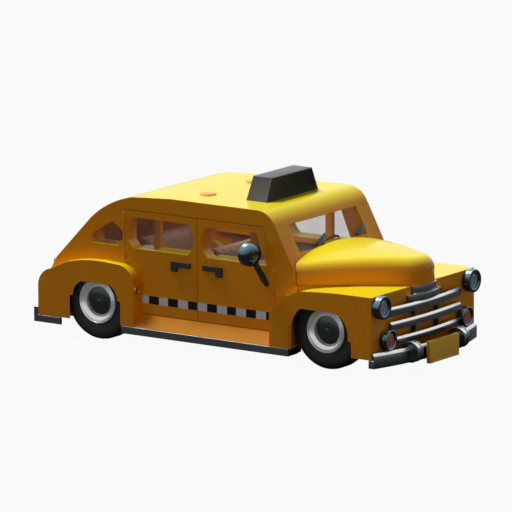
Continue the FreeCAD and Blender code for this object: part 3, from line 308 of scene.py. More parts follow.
def within(value, *spans):
    """1 where a value lies inside one of some spans, which don't overlap, else 0."""
    inside = [(value > low) * (value < high) for low, high in spans]
    return sum(inside[1:], inside[0])


def body_paint(name, doors=False, painted_top_amount=1.0):
    finish = Finish(name, paint_light, 0.3, Coat_Weight=0.24, Coat_Roughness=0.08, Specular_IOR_Level=0.08)
    point = finish.point()
    x, y, z = [finish.axis(letter, point) for letter in "XYZ"]
    cloud = finish.noise(2.6, 3.0)
    colour = finish.blend(cloud, paint_deep, paint_light)
    # painted light: faces that look up are painted towards a paler yellow, a lit top in the colour
    painted_top_share = ((finish.facing_up() - painted_top_start) * painted_top_slope).clamped()
    colour = finish.blend(painted_top_share * painted_top_amount, colour, painted_top_yellow)
    settled = ((dust_top - z) * dust_slope).clamped() * finish.noise(14.0, 5.0)
    colour = finish.blend(settled * 0.5, colour, dust)
    roughness = 0.22 + cloud * 0.12 + settled * 0.3
    if doors:
        band = within(z, checker_z) * (abs(y) > door_skin_y - skin_slack)
        pull = within(x, *pull_spans) * within(z, pull_z) * (abs(y) > door_skin_y + pull_relief)
        colour = finish.blend(band * within(x, *checker_spans), colour, checker_white)
        colour = finish.blend(band * within(x, *black_squares), colour, checker_black)
        colour = finish.blend(pull, colour, pull_grey)
        finish.look("Metallic", pull * 0.8)
        roughness = roughness * (1 - pull) + pull * 0.3
    finish.look("Base Color", colour)
    finish.look("Roughness", roughness)
    finish.bump(finish.noise(380.0, 1.0), 0.025, 0.0006)
    return finish.material


yellow = body_paint("body_yellow")
door_yellow = body_paint("door_yellow", doors=True)
# the sills get no painted light on their upward faces
sill_orange = body_paint("sill_orange", painted_top_amount=0.0)
print("paint made, with", len(black_squares), "black squares to each side")

# %% [markdown]
# ## Metals
# Most of the metal is of three kinds: silver-grey bars on the bumpers and grille, near-black
# polished lamp shells, and bright wheel bands. A rolled bar has long fine scratches, so its
# noise is drawn out along the bar. The bars are dark grey, and their tops are painted near
# white as a painted reflection of the sky; the lamp shells have a painted blue reflection of
# the sky that grows towards their tops. The frame and axles under the body are rough black
# steel with a little rust.

# %% Metal finishes
def metal(name, colour, roughness, grain, metallic=1.0, stretch=(1, 1, 1), relief=0.06, uneven=0.12,
          painted_sky_reflection=None, start=0.4, sharp=5.0):
    """A metal. If a sky colour is given, faces that look up more steeply than start are painted towards it,
    as a painted reflection.
    """
    finish = Finish(name, colour, roughness, Metallic=metallic)
    streak = finish.noise(grain, 4.0, stretch)
    shade = finish.noise(7.0, 3.0)
    darker = tuple(part * 0.72 for part in colour)
    mottled = finish.blend(shade, darker, colour)
    if painted_sky_reflection:
        # painted reflection: faces that look up are blended towards the painted sky colour
        upward = ((finish.facing_up() - start) * sharp).clamped()
        mottled = finish.blend(upward, mottled, painted_sky_reflection)
    finish.look("Base Color", mottled)
    finish.look("Roughness", streak * uneven + (roughness - uneven / 2))
    finish.bump(streak, relief, 0.0006)
    return finish


# silver: the tops are painted near white, a painted reflection of the sky
silver = metal("silver", (0.105, 0.12, 0.128), 0.34, 90.0, 0.85, (1.0, 0.12, 6.0),
               painted_sky_reflection=(0.86, 0.88, 0.89)).material
# dark chrome: a painted blue reflection of the sky, strongest on the tops
dark_chrome = metal("dark_chrome", (0.045, 0.058, 0.06), 0.16, 60.0,
                    painted_sky_reflection=(0.22, 0.40, 0.54), start=0.05, sharp=1.05).material
bright_chrome = metal("bright_chrome", (0.72, 0.74, 0.76), 0.14, 60.0).material
wheel_silver = metal("wheel_silver", (0.90, 0.91, 0.90), 0.3, 140.0, 0.7, relief=0.03, uneven=0.08).material
hub_steel = metal("hub_steel", (0.055, 0.066, 0.066), 0.24, 90.0, 0.9).material
rust = (0.13, 0.055, 0.025)


def steel_with_rust(name, colour, rust_share):
    finish = metal(name, colour, 0.62, 120.0, 0.55, relief=0.3, uneven=0.2)
    patch = finish.noise(9.0, 6.0)
    rusty = ((patch - (0.62 - rust_share)) * 7.0).clamped()
    finish.look("Base Color", finish.blend(rusty * 0.75, colour, rust))
    return finish.material


chassis_steel = steel_with_rust("chassis_steel", (0.045, 0.045, 0.048), 0.08)
engine_iron = steel_with_rust("engine_iron", (0.13, 0.13, 0.125), 0.03)
exhaust_steel = steel_with_rust("exhaust_steel", (0.16, 0.14, 0.12), 0.16)
print("metals end with", exhaust_steel.name)

# %% [markdown]
# ## Rubber, plastic, glass, leather and carpet
# Tyre rubber is a soft black that greys where it is dusty. Leather has small cells like
# cracked mud, which Voronoi cells give, and broad creases from a slower noise. The
# carpet's pile is a very fine noise used as height. Glass is a thin grey tint that lets
# most light pass: its Alpha does that, which travels well to other programs.

# %% Soft and clear finishes
def tyre_rubber():
    finish = Finish("tyre_rubber", (0.012, 0.013, 0.014), 0.6, Specular_IOR_Level=0.35)
    dusty = finish.noise(11.0, 5.0)
    greyed = (dusty - 0.35).clamped() * 0.5
    finish.look("Base Color", finish.blend(greyed, (0.010, 0.011, 0.012), (0.05, 0.048, 0.044)))
    finish.look("Roughness", 0.5 + dusty * 0.25)
    finish.bump(finish.noise(300.0, 3.0), 0.12, 0.001)
    return finish.material


def leather(name, colour):
    finish = Finish(name, colour, 0.5, Specular_IOR_Level=0.4)
    cells = finish.node("ShaderNodeTexVoronoi", {"feature": "DISTANCE_TO_EDGE"},
                        {"Vector": finish.point(), "Scale": 160.0})
    worn = finish.noise(6.0, 4.0)
    crease = finish.noise(22.0, 4.0, (1.0, 2.4, 1.0))
    darker = tuple(part * 0.62 for part in colour)
    finish.look("Base Color", finish.blend(worn, darker, colour))
    finish.look("Roughness", 0.38 + worn * 0.24)
    finish.bump((cells * 8.0).clamped() * 0.5 + crease * 1.6, 0.35, 0.002)
    return finish.material


def moulded(name, colour, roughness, speckle=240.0, relief=0.12, **fixed):
    finish = Finish(name, colour, roughness, **fixed)
    cloud = finish.noise(5.0, 3.0)
    paler = tuple(part * 1.5 + 0.003 for part in colour)
    finish.look("Base Color", finish.blend(cloud * 0.6, colour, paler))
    finish.look("Roughness", cloud * 0.16 + (roughness - 0.08))
    finish.bump(finish.noise(speckle, 2.0), relief, 0.0008)
    return finish.material


def tinted_glass():
    finish = Finish("tinted_glass", (0.30, 0.30, 0.29), 0.04, Alpha=0.16, Specular_IOR_Level=0.3)
    smear = finish.noise(4.0, 4.0)
    finish.look("Roughness", smear * 0.08 + 0.01)
    finish.look("Alpha", smear * 0.1 + 0.12)
    return finish.material


def lens(name, colour, alpha):
    """Coloured glass with fine upright ribs."""
    finish = Finish(name, colour, 0.08, Alpha=alpha, Coat_Weight=0.6)
    ribs = abs((finish.axis("Y", finish.point()) * 420.0).wave())
    finish.bump(ribs, 0.4, 0.0015)
    finish.look("Base Color", finish.blend(ribs * 0.4, colour, tuple(part * 0.6 for part in colour)))
    return finish.material


rubber = tyre_rubber()
seat_leather = leather("seat_leather", (0.46, 0.27, 0.19))
seat_piping = leather("seat_piping", (0.20, 0.11, 0.075))
carpet = moulded("floor_carpet", (0.045, 0.038, 0.034), 0.95, 900.0, 0.7)
black_plastic = moulded("black_plastic", (0.016, 0.016, 0.017), 0.45)
sign_gloss = moulded("sign_gloss", (0.006, 0.0075, 0.008), 0.3, 160.0, 0.04, Specular_IOR_Level=0.15)
sign_end = moulded("sign_end", (0.10, 0.10, 0.105), 0.45, 160.0, 0.04, Specular_IOR_Level=0.2)
sign_cap = moulded("sign_cap", (0.115, 0.13, 0.135), 0.5, Specular_IOR_Level=0.2)
plate_enamel = moulded("plate_enamel", (1.0, 0.55, 0.015), 0.35, 200.0, 0.05)
glass = tinted_glass()
clear_lens = lens("clear_lens", (0.62, 0.70, 0.74), 0.45)
amber_lens = lens("amber_lens", (0.75, 0.16, 0.05), 0.85)
red_lens = lens("red_lens", (0.80, 0.20, 0.17), 0.9)
print("finishes", len(bpy.data.materials))

# %% [markdown]
# ## The CAD parts keep their shape
# Most of the body's panels already have the right shape, so they stay and only take a
# finish. A table says which finish belongs to each material slot of the record, and a
# few nodes get one of their own.

# %% Dress the CAD nodes
slot_finish = {
    "body_yellow": yellow, "silver": silver, "dark_steel": chassis_steel, "chrome": dark_chrome,
    "tyre": rubber, "glass": glass, "plate_yellow": plate_enamel, "sign_black": sign_gloss,
    "black_plastic": black_plastic, "engine_iron": engine_iron, "seat_tan": seat_leather,
    "floor_mat": carpet, "lamp_lens": dark_chrome, "tail_red": red_lens,
}
own_finish = {"exhaust": exhaust_steel, "door_hinges": yellow, "side_sills": sill_orange}
for side in ("left", "right"):
    own_finish["front_door_" + side] = door_yellow
    own_finish["rear_door_" + side] = door_yellow
slot_of = {part["node"]: part["material_slot"] for part in frame["record"]["subparts"]}
for node, slot in slot_of.items():
    mesh = nodes[node].data
    mesh.materials.clear()
    mesh.materials.append(own_finish.get(node, slot_finish[slot]))
print("dressed", len(nodes), "CAD nodes")

# %% [markdown]
# ## Soft panel edges
# Pressed sheet has no razor edges: every fold is a small round that catches a line of
# light. A painted CAD panel is copied, its loose triangles are merged and its flat faces
# joined, and then a narrow bevel rounds the sharp edges only. The copy stands for the
# node. Weighting the normals by face size keeps the flats flat.

# %% Pick, name and hand over a piece
def pick(piece):
    """Select one object and nothing else."""
    nothing_selected()
    piece.select_set(True)
    bpy.context.view_layer.objects.active = piece


def finished(piece, name, material, body, slot, *stands_for):
    """Name a piece, give it its finish, and hand it to its body."""
    nothing_selected()
    piece.name = name
    piece.data.name = name
    if not piece.data.materials:
        piece.data.materials.append(material)
    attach(piece, body)
    if stands_for:
        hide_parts(*stands_for)
    return piece


# %% Round the edges of a panel
weld_gap = 0.00002
flat_degrees, fold_degrees, smooth_degrees = 0.4, 38, 50


def apply_modifiers(piece):
    pick(piece)
    for modifier in list(piece.modifiers):
        bpy.ops.object.modifier_apply(modifier=modifier.name)


def smooth_below(degrees):
    """Shade the picked piece smooth, but for its folds sharper than an angle."""
    bpy.ops.object.shade_smooth_by_angle(angle=math.radians(degrees))


def round_edges(piece, width, sharper_than, smooth):
    rounding = piece.modifiers.new("rounding", "BEVEL")
    rounding.width = width
    rounding.segments = 2
    rounding.limit_method = "ANGLE"
    rounding.angle_limit = math.radians(sharper_than)
    apply_modifiers(piece)
    smooth_below(smooth)


def merged_copy(node):
    """A copy of a CAD node's mesh, its triangles merged and its flats joined."""
    piece = bpy.data.objects.new(node + "_panel", nodes[node].data.copy())
    bpy.context.scene.collection.objects.link(piece)
    pick(piece)
    bpy.ops.mesh.customdata_custom_splitnormals_clear()
    bpy.ops.object.mode_set(mode="EDIT")
    bpy.ops.mesh.select_all(action="SELECT")
    bpy.ops.mesh.remove_doubles(threshold=weld_gap)
    bpy.ops.mesh.dissolve_limited(angle_limit=math.radians(flat_degrees))
    bpy.ops.object.mode_set(mode="OBJECT")
    return piece


def softened(node, width):
    """A CAD node's panel with soft edges, which stands for the node and keeps its finish."""
    piece = merged_copy(node)
    round_edges(piece, width, fold_degrees, smooth_degrees)
    weighting = piece.modifiers.new("weighting", "WEIGHTED_NORMAL")
    weighting.keep_sharp = True
    apply_modifiers(piece)
    return finished(piece, node + "_panel", None, nodes[node]["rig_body"], slot_of[node], node)


soft_panels = {
    "front_door_left": 0.004, "front_door_right": 0.004, "rear_door_left": 0.004, "rear_door_right": 0.004,
    "roof": 0.006, "quarter_panels": 0.004, "tail_panel": 0.004, "trunk_lid": 0.004, "cowl": 0.004,
    "front_fenders": 0.003, "rear_fenders": 0.003, "hood": 0.004, "side_sills": 0.005,
    "running_boards": 0.006, "rear_bumper": 0.005,
}
for node, width in soft_panels.items():
    panel = softened(node, width)
    print(node, len(panel.data.polygons), "faces")

# %% [markdown]
# ## Drawing a profile and turning it
# Wheels, tyres, lamps and mirrors are all turned shapes, as a potter or a lathe makes
# them. By hand we start from one vertex, extrude it from point to point along half of the
# section, and spin that line about the axle. The helpers here do just that. What comes in
# pairs is modelled once, on the left, and its twin is a mirrored copy with its own mesh.

# %% Profile and lathe
merge_gap = 0.00005


def start(kind, **size):
    """A new primitive, and nothing else selected."""
    nothing_selected()
    getattr(bpy.ops.mesh, "primitive_" + kind + "_add")(**size)
    return bpy.context.object


def edit(piece, mode="VERT"):
    bpy.context.view_layer.objects.active = piece
    bpy.ops.object.mode_set(mode="EDIT")
    bpy.ops.mesh.select_mode(type=mode)


def drawn(points, closed=False):
    """One vertex, extruded from point to point and left selected; a closed outline is filled."""
    piece = start("plane", size=0.01, location=(0, 0, 0))
    edit(piece)
    bpy.ops.mesh.select_all(action="SELECT")
    bpy.ops.mesh.merge(type="CENTER")
    bpy.ops.transform.translate(value=points[0])
    here = Vector(points[0])
    for point in points[1:]:
        bpy.ops.mesh.extrude_region_move(TRANSFORM_OT_translate={"value": Vector(point) - here})
        here = Vector(point)
    bpy.ops.mesh.select_all(action="SELECT")
    if closed:
        bpy.ops.mesh.edge_face_add()
        bpy.ops.mesh.select_all(action="SELECT")
    return piece


def leave_facing_out():
    """Merge doubled points, turn every face outwards and leave edit mode."""
    bpy.ops.mesh.select_all(action="SELECT")
    bpy.ops.mesh.remove_doubles(threshold=merge_gap)
    bpy.ops.mesh.normals_make_consistent(inside=False)
    bpy.ops.object.mode_set(mode="OBJECT")


def turned(profile, centre, axis, steps=64, smooth=35):
    """A profile of (radius, distance along the axis) spun about the axis through centre."""
    axis = Vector(axis).normalized()
    centre = Vector(centre)
    outward = axis.orthogonal().normalized()
    piece = drawn([centre + outward * radius + axis * along for radius, along in profile])
    bpy.ops.mesh.spin(steps=steps, angle=math.tau, center=centre, axis=axis)
    leave_facing_out()
    smooth_below(smooth)
    return piece


# %% Copies, and pieces that come in pairs
def own_copy(piece, shift=(0, 0, 0), mirror=False):
    """A copy of an unfinished piece with its own mesh, moved, or mirrored across the car."""
    twin = piece.copy()
    twin.data = piece.data.copy()
    bpy.context.scene.collection.objects.link(twin)
    pick(twin)
    edit(twin)
    bpy.ops.mesh.select_all(action="SELECT")
    if mirror:
        bpy.ops.transform.resize(value=(1, -1, 1), center_override=(0, 0, 0))
        bpy.ops.mesh.flip_normals()
    bpy.ops.transform.translate(value=shift)
    bpy.ops.object.mode_set(mode="OBJECT")
    return twin


def pair(piece, name, material, body, slot, *stands_for):
    """Finish a piece of the left side and its mirrored twin. SIDE in a name is left or right."""
    for side, one in (("right", own_copy(piece, mirror=True)), ("left", piece)):
        names = [text.replace("SIDE", side) for text in (name, body, slot, *stands_for)]
        finished(one, names[0], material, *names[1:])


# %% [markdown]
# ## Tyres
# A cross-ply tyre has a rounded sidewall, a flat tread with a few grooves running round
# it, and short notches at both shoulders. The section is drawn once and spun in 96
# steps. Then every second face of both shoulders is inset and pushed in, which cuts the
# notches. The spin joints give the axles' places and the CAD tyres' boxes their sides. The
# rear pair stands wider, so its copy moves out as well as back.

# %% One tyre, then four
front_hub = Vector(joints["front_wheel_left_spin"]["pos_m"])
rear_hub = Vector(joints["rear_wheel_left_spin"]["pos_m"])
front_inner_y, front_outer_y = (corner.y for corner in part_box("front_tyre_left"))
rear_outer_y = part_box("rear_tyre_left")[1].y
tyre_steps = 96
notch_inner, notch_outer, notch_margin, notch_depth = 0.414, 0.4265, 0.002, 0.007
tyre_section = [
    (0.242, 0.024), (0.258, 0.014), (0.275, 0.012), (0.300, 0.004), (0.345, 0.0), (0.372, 0.003),
    (0.395, 0.010), (0.413, 0.022), (0.423, 0.040), (0.4268, 0.060), (0.4268, 0.078), (0.420, 0.080),
    (0.420, 0.086), (0.427, 0.088), (0.427, 0.117), (0.420, 0.119), (0.420, 0.125), (0.427, 0.127),
    (0.427, 0.152), (0.420, 0.154), (0.420, 0.160), (0.4268, 0.162), (0.4268, 0.180), (0.423, 0.200),
    (0.413, 0.218), (0.395, 0.230), (0.372, 0.237), (0.345, 0.240), (0.318, 0.238), (0.300, 0.2345),
    (0.296, 0.2365), (0.288, 0.2365), (0.284, 0.233), (0.268, 0.229), (0.242, 0.228), (0.242, 0.024),
]


def select_faces(piece, wanted):
    """Open a piece with only the faces selected that pass a test."""
    pick(piece)
    for polygon in piece.data.polygons:
        polygon.select = wanted(polygon)
    for edge in piece.data.edges:
        edge.select = False
    for vertex in piece.data.vertices:
        vertex.select = False
    edit(piece, "FACE")


def shoulder_notch(polygon):
    """True for every second face of the slopes beside the tread."""
    x, z = polygon.center.x - front_hub.x, polygon.center.z - front_hub.z
    column = math.floor(math.degrees(math.atan2(z, x)) / (360 / tyre_steps) + 0.02)
    on_shoulder = notch_inner < math.hypot(x, z) < notch_outer and abs(polygon.normal.y) > 0.12
    return on_shoulder and column % 2 == 0


tyre_place = (front_hub.x, front_inner_y, front_hub.z)
tyre = turned(tyre_section, tyre_place, (0, 1, 0), tyre_steps, 32)
select_faces(tyre, shoulder_notch)
bpy.ops.mesh.inset(thickness=notch_margin, depth=-notch_depth, use_individual=True)
bpy.ops.object.mode_set(mode="OBJECT")
rear_shift = (rear_hub.x - front_hub.x, rear_outer_y - front_outer_y, 0)
for end, shape in (("front", tyre), ("rear", own_copy(tyre, rear_shift))):
    pair(shape, end + "_tyre_rubber_SIDE", rubber, end + "_wheel_SIDE", "tyre", end + "_tyre_SIDE")
print("tyre faces", len(tyre.data.polygons))

# %% [markdown]
# ## Wheels
# Each steel wheel shows a thin outer lip, a wide pale band that dishes inwards, a raised
# ring, and inside it a dark polished disc with a small hub nub. The band and the disc
# have different finishes, so they are two turned pieces.

# %% Rim band and hub disc
rim_section = [
    (0.120, -0.078), (0.225, -0.078), (0.225, -0.214), (0.242, -0.214), (0.2415, -0.012), (0.245, 0.004),
    (0.242, 0.014), (0.236, 0.0165), (0.231, 0.012), (0.228, 0.005), (0.221, -0.006), (0.210, -0.017),
    (0.196, -0.026), (0.182, -0.031), (0.173, -0.032), (0.170, -0.022), (0.167, -0.0165), (0.162, -0.0165),
    (0.159, -0.022), (0.157, -0.040), (0.120, -0.047), (0.120, -0.078),
]
disc_section = [
    (0.0, -0.150), (0.062, -0.150), (0.066, -0.074), (0.120, -0.074), (0.156, -0.042), (0.152, -0.036),
    (0.128, -0.029), (0.090, -0.023), (0.050, -0.0205), (0.046, -0.016), (0.030, -0.015), (0.027, -0.010),
    (0.018, -0.0065), (0.010, -0.005), (0.0, -0.0045),
]
wheel_centre = (front_hub.x, front_outer_y, front_hub.z)
rim = turned(rim_section, wheel_centre, (0, 1, 0), 80)
disc = turned(disc_section, wheel_centre, (0, 1, 0), 80)
for end, band, hub in (("front", rim, disc), ("rear", own_copy(rim, rear_shift), own_copy(disc, rear_shift))):
    wheel = end + "_wheel_SIDE"
    pair(band, end + "_rim_SIDE", wheel_silver, wheel, "chrome", wheel)
    pair(hub, end + "_hub_disc_SIDE", hub_steel, wheel, "chrome")
print("rim faces", len(rim.data.polygons))

# %% [markdown]
# ## Lamps
# Each front lamp is a short polished drum with a rolled bezel and a recessed ribbed lens
# over a reflector bowl. The two sizes share one section: the lens and the step before it
# are the same, and only the drum differs. The lower lamps have amber lenses.

# %% Head lamps and fog lamps
nose_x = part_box("grille")[0].x
lamp_kinds = {
    "head_lamp": {"front": 2.232, "y": 0.872, "z": 0.768, "radius": 0.128, "glass": clear_lens},
    "fog_lamp": {"front": 2.230, "y": 0.747, "z": 0.394, "radius": 0.112, "glass": amber_lens},
}
lens_radius = 0.083


def drum_section(radius, depth):
    """From the back of the drum, over its rim and into the bowl."""
    return [
        (0.0, 0.0), (radius * 0.86, 0.0), (radius * 0.95, 0.006), (radius * 0.99, 0.020), (radius, 0.040),
        (radius, depth - 0.030), (radius * 0.985, depth - 0.027), (radius * 0.985, depth - 0.023),
        (radius, depth - 0.020), (radius, depth - 0.010), (radius - 0.003, depth - 0.003),
        (radius - 0.009, depth), (lens_radius + 0.010, depth - 0.002), (lens_radius + 0.003, depth - 0.007),
        (lens_radius, depth - 0.016), (lens_radius, depth - 0.030), (lens_radius - 0.004, depth - 0.033),
        (0.060, depth - 0.044), (0.030, depth - 0.050), (0.0, depth - 0.052),
    ]


lens_section = [(0.0, -0.036), (0.060, -0.031), (0.0825, -0.026), (0.0828, -0.022), (0.070, -0.0175),
                (0.045, -0.0135), (0.020, -0.0122), (0.0, -0.012)]
for kind, size in lamp_kinds.items():
    depth = size["front"] - nose_x
    drum = turned(drum_section(size["radius"], depth), (nose_x, size["y"], size["z"]), (1, 0, 0), 72)
    cover = turned(lens_section, (size["front"], size["y"], size["z"]), (1, 0, 0), 56)
    pair(drum, kind + "_drum_SIDE", dark_chrome, "body", "lamp_lens", "front_lamps")
    pair(cover, kind + "_lens_SIDE", size["glass"], "body", "lamp_lens")
print("front lamps", list(lamp_kinds))

# %% [markdown]
# ## Tail lamps
# A small red dome stands in a plain ring on the slope of the tail, on each side. The ring
# starts inside the body, so the slope itself cuts it to shape where it shows.

# %% Tail lamps
tail_low, tail_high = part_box("tail_lamps")
tail_radius, tail_y = 0.048, 0.769
tail_long = tail_high.x - tail_low.x
ring_section = [(0.0, 0.0), (tail_radius, 0.0), (tail_radius, tail_long - 0.034),
                (tail_radius - 0.002, tail_long - 0.030), (tail_radius - 0.006, tail_long - 0.030),
                (tail_radius - 0.007, tail_long - 0.036), (0.0, tail_long - 0.036)]
dome_section = [(0.0, tail_long - 0.038), (0.0405, tail_long - 0.038), (0.0405, tail_long - 0.024),
                (0.0385, tail_long - 0.014), (0.033, tail_long - 0.006), (0.022, tail_long - 0.0012),
                (0.010, tail_long), (0.0, tail_long)]
tail_start = (tail_high.x, tail_y, (tail_low.z + tail_high.z) / 2)
tail_ring = turned(ring_section, tail_start, (-1, 0, 0), 48)
tail_dome = turned(dome_section, tail_start, (-1, 0, 0), 48)
pair(tail_ring, "tail_lamp_ring_SIDE", dark_chrome, "body", "tail_red", "tail_lamps")
pair(tail_dome, "tail_lamp_dome_SIDE", red_lens, "body", "tail_red")
print("tail lamps stand out to x", round(tail_low.x, 3))

# %% [markdown]
# ## Bars that bow across the nose
# The bumper and the three grille bars are straight rolled sections bent to a wide arc.
# The arc is a true circle, so the section is drawn once at one end, filled, and spun
# about the circle's upright centre line through the angle of the bow. The spin operator
# goes clockwise seen from above, so the drawing starts at the left-hand end.

# %% Bowed bars
def bowed_bar(middle_x, end_x, half, section, steps=28):
    """A section of (inwards, z) points, spun along the arc whose outer face is middle_x at the centre."""
    bow = middle_x - end_x
    radius = (bow * bow + half * half) / (2 * bow)
    centre = Vector((middle_x - radius, 0, 0))
    reach = math.asin(half / radius)
    to_end = Vector((math.cos(reach), math.sin(reach), 0))
    first = [centre + to_end * (radius - inwards) + Vector((0, 0, z)) for inwards, z in section]
    piece = drawn(first, closed=True)
    bpy.ops.mesh.spin(steps=steps, angle=2 * reach, center=centre, axis=(0, 0, 1))
    leave_facing_out()
    smooth_below(30)
    return piece


def bar_section(z0, z1, thick, edge=0.008, slope=0.027):
    """A flat bar with a sloping top and rounded lower edges, as (inwards, z) points."""
    return [(edge * 0.3, z0 + edge * 0.3), (0.0, z0 + edge), (0.0, (z0 + z1) / 2), (0.0, z1 - slope),
            (0.002, z1 - slope + 0.004), (thick - 0.005, z1 - 0.001), (thick - 0.002, z1),
            (thick, z1 - 0.003), (thick, z0 + edge / 2), (thick - edge / 2, z0), (edge, z0)]


def rounded_block(name, low, high, edge, segments=2):
    """A box with every edge rounded."""
    low, high = Vector(low), Vector(high)
    piece = start("cube", size=1.0, location=(low + high) / 2)
    piece.scale = high - low
    bpy.ops.object.transform_apply(location=True, rotation=True, scale=True)
    edit(piece, "EDGE")
    bpy.ops.mesh.select_all(action="SELECT")
    bpy.ops.mesh.bevel(offset=edge, segments=segments, affect="EDGES")
    bpy.ops.object.mode_set(mode="OBJECT")
    smooth_below(smooth_degrees)
    piece.name = name
    return piece


def joined(pieces):
    """Several meshes made one piece."""
    nothing_selected()
    for piece in pieces:
        piece.select_set(True)
    bpy.context.view_layer.objects.active = pieces[0]
    bpy.ops.object.join()
    return bpy.context.object


# %% Front bumper
bumper_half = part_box("front_bumper")[1].y
bumper_front, bumper_end, bumper_thick = 2.335, 2.172, 0.030
iron_x, iron_y, iron_z = (1.936, 2.289), (0.290, 0.350), (0.130, 0.196)
tongue_y = (0.9672, 0.9968)
bumper_section = bar_section(0.115, 0.281, bumper_thick, slope=0.034)
parts = [bowed_bar(bumper_front, bumper_end, bumper_half, bumper_section)]
for way in (-1, 1):
    inner, outer = sorted(way * y for y in tongue_y)
    parts.append(rounded_block("tongue", (2.098, inner, 0.116), (2.168, outer, 0.2025), 0.003))
    inner, outer = sorted(way * y for y in iron_y)
    parts.append(rounded_block("iron", (iron_x[0], inner, iron_z[0]), (iron_x[1], outer, iron_z[1]), 0.004))
    parts.append(rounded_block("iron_up", (iron_x[0], inner, 0.131), (1.995, outer, 0.400), 0.004))
finished(joined(parts), "front_bumper_bar", silver, "body", "silver", "front_bumper")
print("bumper is", round(2 * bumper_half, 3), "m wide")

# %% [markdown]
# ## Bumper guards
# Two thick round guards stand on the bumper with their axles across the car. Each is a
# drum with bright rims and a shallow dish in its side.

# %% Guards
guard_section = [
    (0.0, 0.006), (0.070, 0.006), (0.084, 0.002), (0.104, 0.0), (0.112, 0.003), (0.1165, 0.008),
    (0.118, 0.016), (0.117, 0.022), (0.110, 0.026), (0.110, 0.074), (0.117, 0.078), (0.118, 0.084),
    (0.1165, 0.092), (0.112, 0.097), (0.104, 0.100), (0.084, 0.098), (0.070, 0.094), (0.0, 0.094),
]
guard = turned(guard_section, (2.297, 0.400, 0.230), (0, 1, 0))
pair(guard, "bumper_guard_SIDE", silver, "body", "silver")
print("guards", guard.name)

# %% [markdown]
# ## Grille
# Three bowed bars, the middle one widest, cross the nose below two stepped blocks at the
# foot of the hood. Two uprights hold the bars. The blocks have a curved front, so they
# are drawn in plan, filled and extruded upwards. A bar that is level with the fog lamps
# stops just short of them: its half width is worked out from the lamp's circle.

# %% Grille bars and blocks
bar_out, bar_end_out, bar_thick = 0.092, 0.026, 0.026
grille_bars = [(0.322, 0.394, 0.760), (0.480, 0.568, 0.812), (0.630, 0.727, 0.712)]
grille_blocks = [(0.732, 0.800, 0.322, 0.096), (0.800, 0.884, 0.229, 0.080)]
fog = lamp_kinds["fog_lamp"]


def bar_half(z0, z1, half):
    """The bar's half width, cut short of the fog lamp where the two are level."""
    near = min(max(fog["z"], z0), z1)
    level = abs(near - fog["z"])
    if level >= fog["radius"]:
        return half
    return min(half, fog["y"] - math.sqrt(fog["radius"] ** 2 - level ** 2) - 0.001)


def plan_block(half, stand_out, z0, z1, steps=12):
    """A block on the nose whose front bulges, drawn in plan as a parabola."""
    corner = nose_x + stand_out * 0.3
    points = [(nose_x, -half, z0), (corner, -half, z0)]
    for step in range(1, steps):
        y = -half + 2 * half * step / steps
        points.append((corner + stand_out * 0.7 * (1 - (y / half) ** 2), y, z0))
    piece = drawn(points + [(corner, half, z0), (nose_x, half, z0)], closed=True)
    bpy.ops.mesh.extrude_region_move(TRANSFORM_OT_translate={"value": (0, 0, z1 - z0)})
    leave_facing_out()
    round_edges(piece, 0.005, 40, 40)
    return piece


parts = []
for z0, z1, half in grille_bars:
    short = bar_half(z0, z1, half)
    end_out = bar_out - (bar_out - bar_end_out) * (short / half) ** 2
    parts.append(bowed_bar(nose_x + bar_out, nose_x + end_out, short, bar_section(z0, z1, bar_thick)))
for z0, z1, half, stand_out in grille_blocks:
    parts.append(plan_block(half, stand_out, z0, z1))
for y in (-0.220, 0.220):
    parts.append(rounded_block("upright", (nose_x, y - 0.015, 0.326), (nose_x + 0.062, y + 0.015, 0.808),
                               0.003))
finished(joined(parts), "grille_bars", silver, "body", "silver", "grille")
print("grille bars", len(grille_bars), "blocks", len(grille_blocks))

# %% [markdown]
# ## Wing mirrors
# A round mirror stands out from each front door on a flat dark arm. Its head is a domed
# polished shell with a deep rolled rim and the glass at its back. The head is turned a
# little, so its section is spun about a slanting axis. The arm is a bevelled bar turned
# onto the line from the door to the head, and the foot is a small turned boss.

# %% Mirrors
mirror_turn = math.radians(22)
mirror_axis = Vector((math.cos(mirror_turn), math.sin(mirror_turn), 0))
mirror_centre = Vector((0.645, 1.100, 1.212))
head_section = [
    (0.0, -0.049), (0.116, -0.049), (0.120, -0.055), (0.128, -0.056), (0.1315, -0.051), (0.132, -0.040),
    (0.131, -0.022), (0.129, -0.019), (0.131, -0.016), (0.130, 0.006), (0.124, 0.022), (0.110, 0.036),
    (0.090, 0.046), (0.066, 0.0515), (0.062, 0.0495), (0.030, 0.0545), (0.0, 0.0558),
]
glass_section = [(0.0, -0.0535), (0.112, -0.0505), (0.1155, -0.048), (0.0, -0.048)]
foot_section = [(0.0, 0.0), (0.038, 0.0), (0.038, 0.006), (0.034, 0.011), (0.020, 0.014), (0.0, 0.0142)]
mirror_foot = Vector((0.700, door_skin_y, 0.872))
arm_low = mirror_foot + Vector((-0.004, 0.012, 0.002))
arm_high = mirror_centre + Vector((0.008, -0.060, -0.090))
arm_width, arm_thick = 0.078, 0.030


def place_in_mesh(piece):
    """Move a piece's place, turn and scale into its mesh."""
    pick(piece)
    bpy.ops.object.transform_apply(location=True, rotation=True, scale=True)


def bar_between(name, low, high, across, width, thick, edge=0.004):
    """A flat bar from one point to another, its wide side along across."""
    run = Vector(high) - Vector(low)
    along = run.normalized()
    side = (Vector(across) - along * Vector(across).dot(along)).normalized()
    piece = rounded_block(name, (-width / 2, -thick / 2, 0), (width / 2, thick / 2, run.length), edge)
    turn = Matrix((side, along.cross(side), along)).transposed().to_4x4()
    piece.matrix_world = Matrix.Translation(low) @ turn
    place_in_mesh(piece)
    return piece


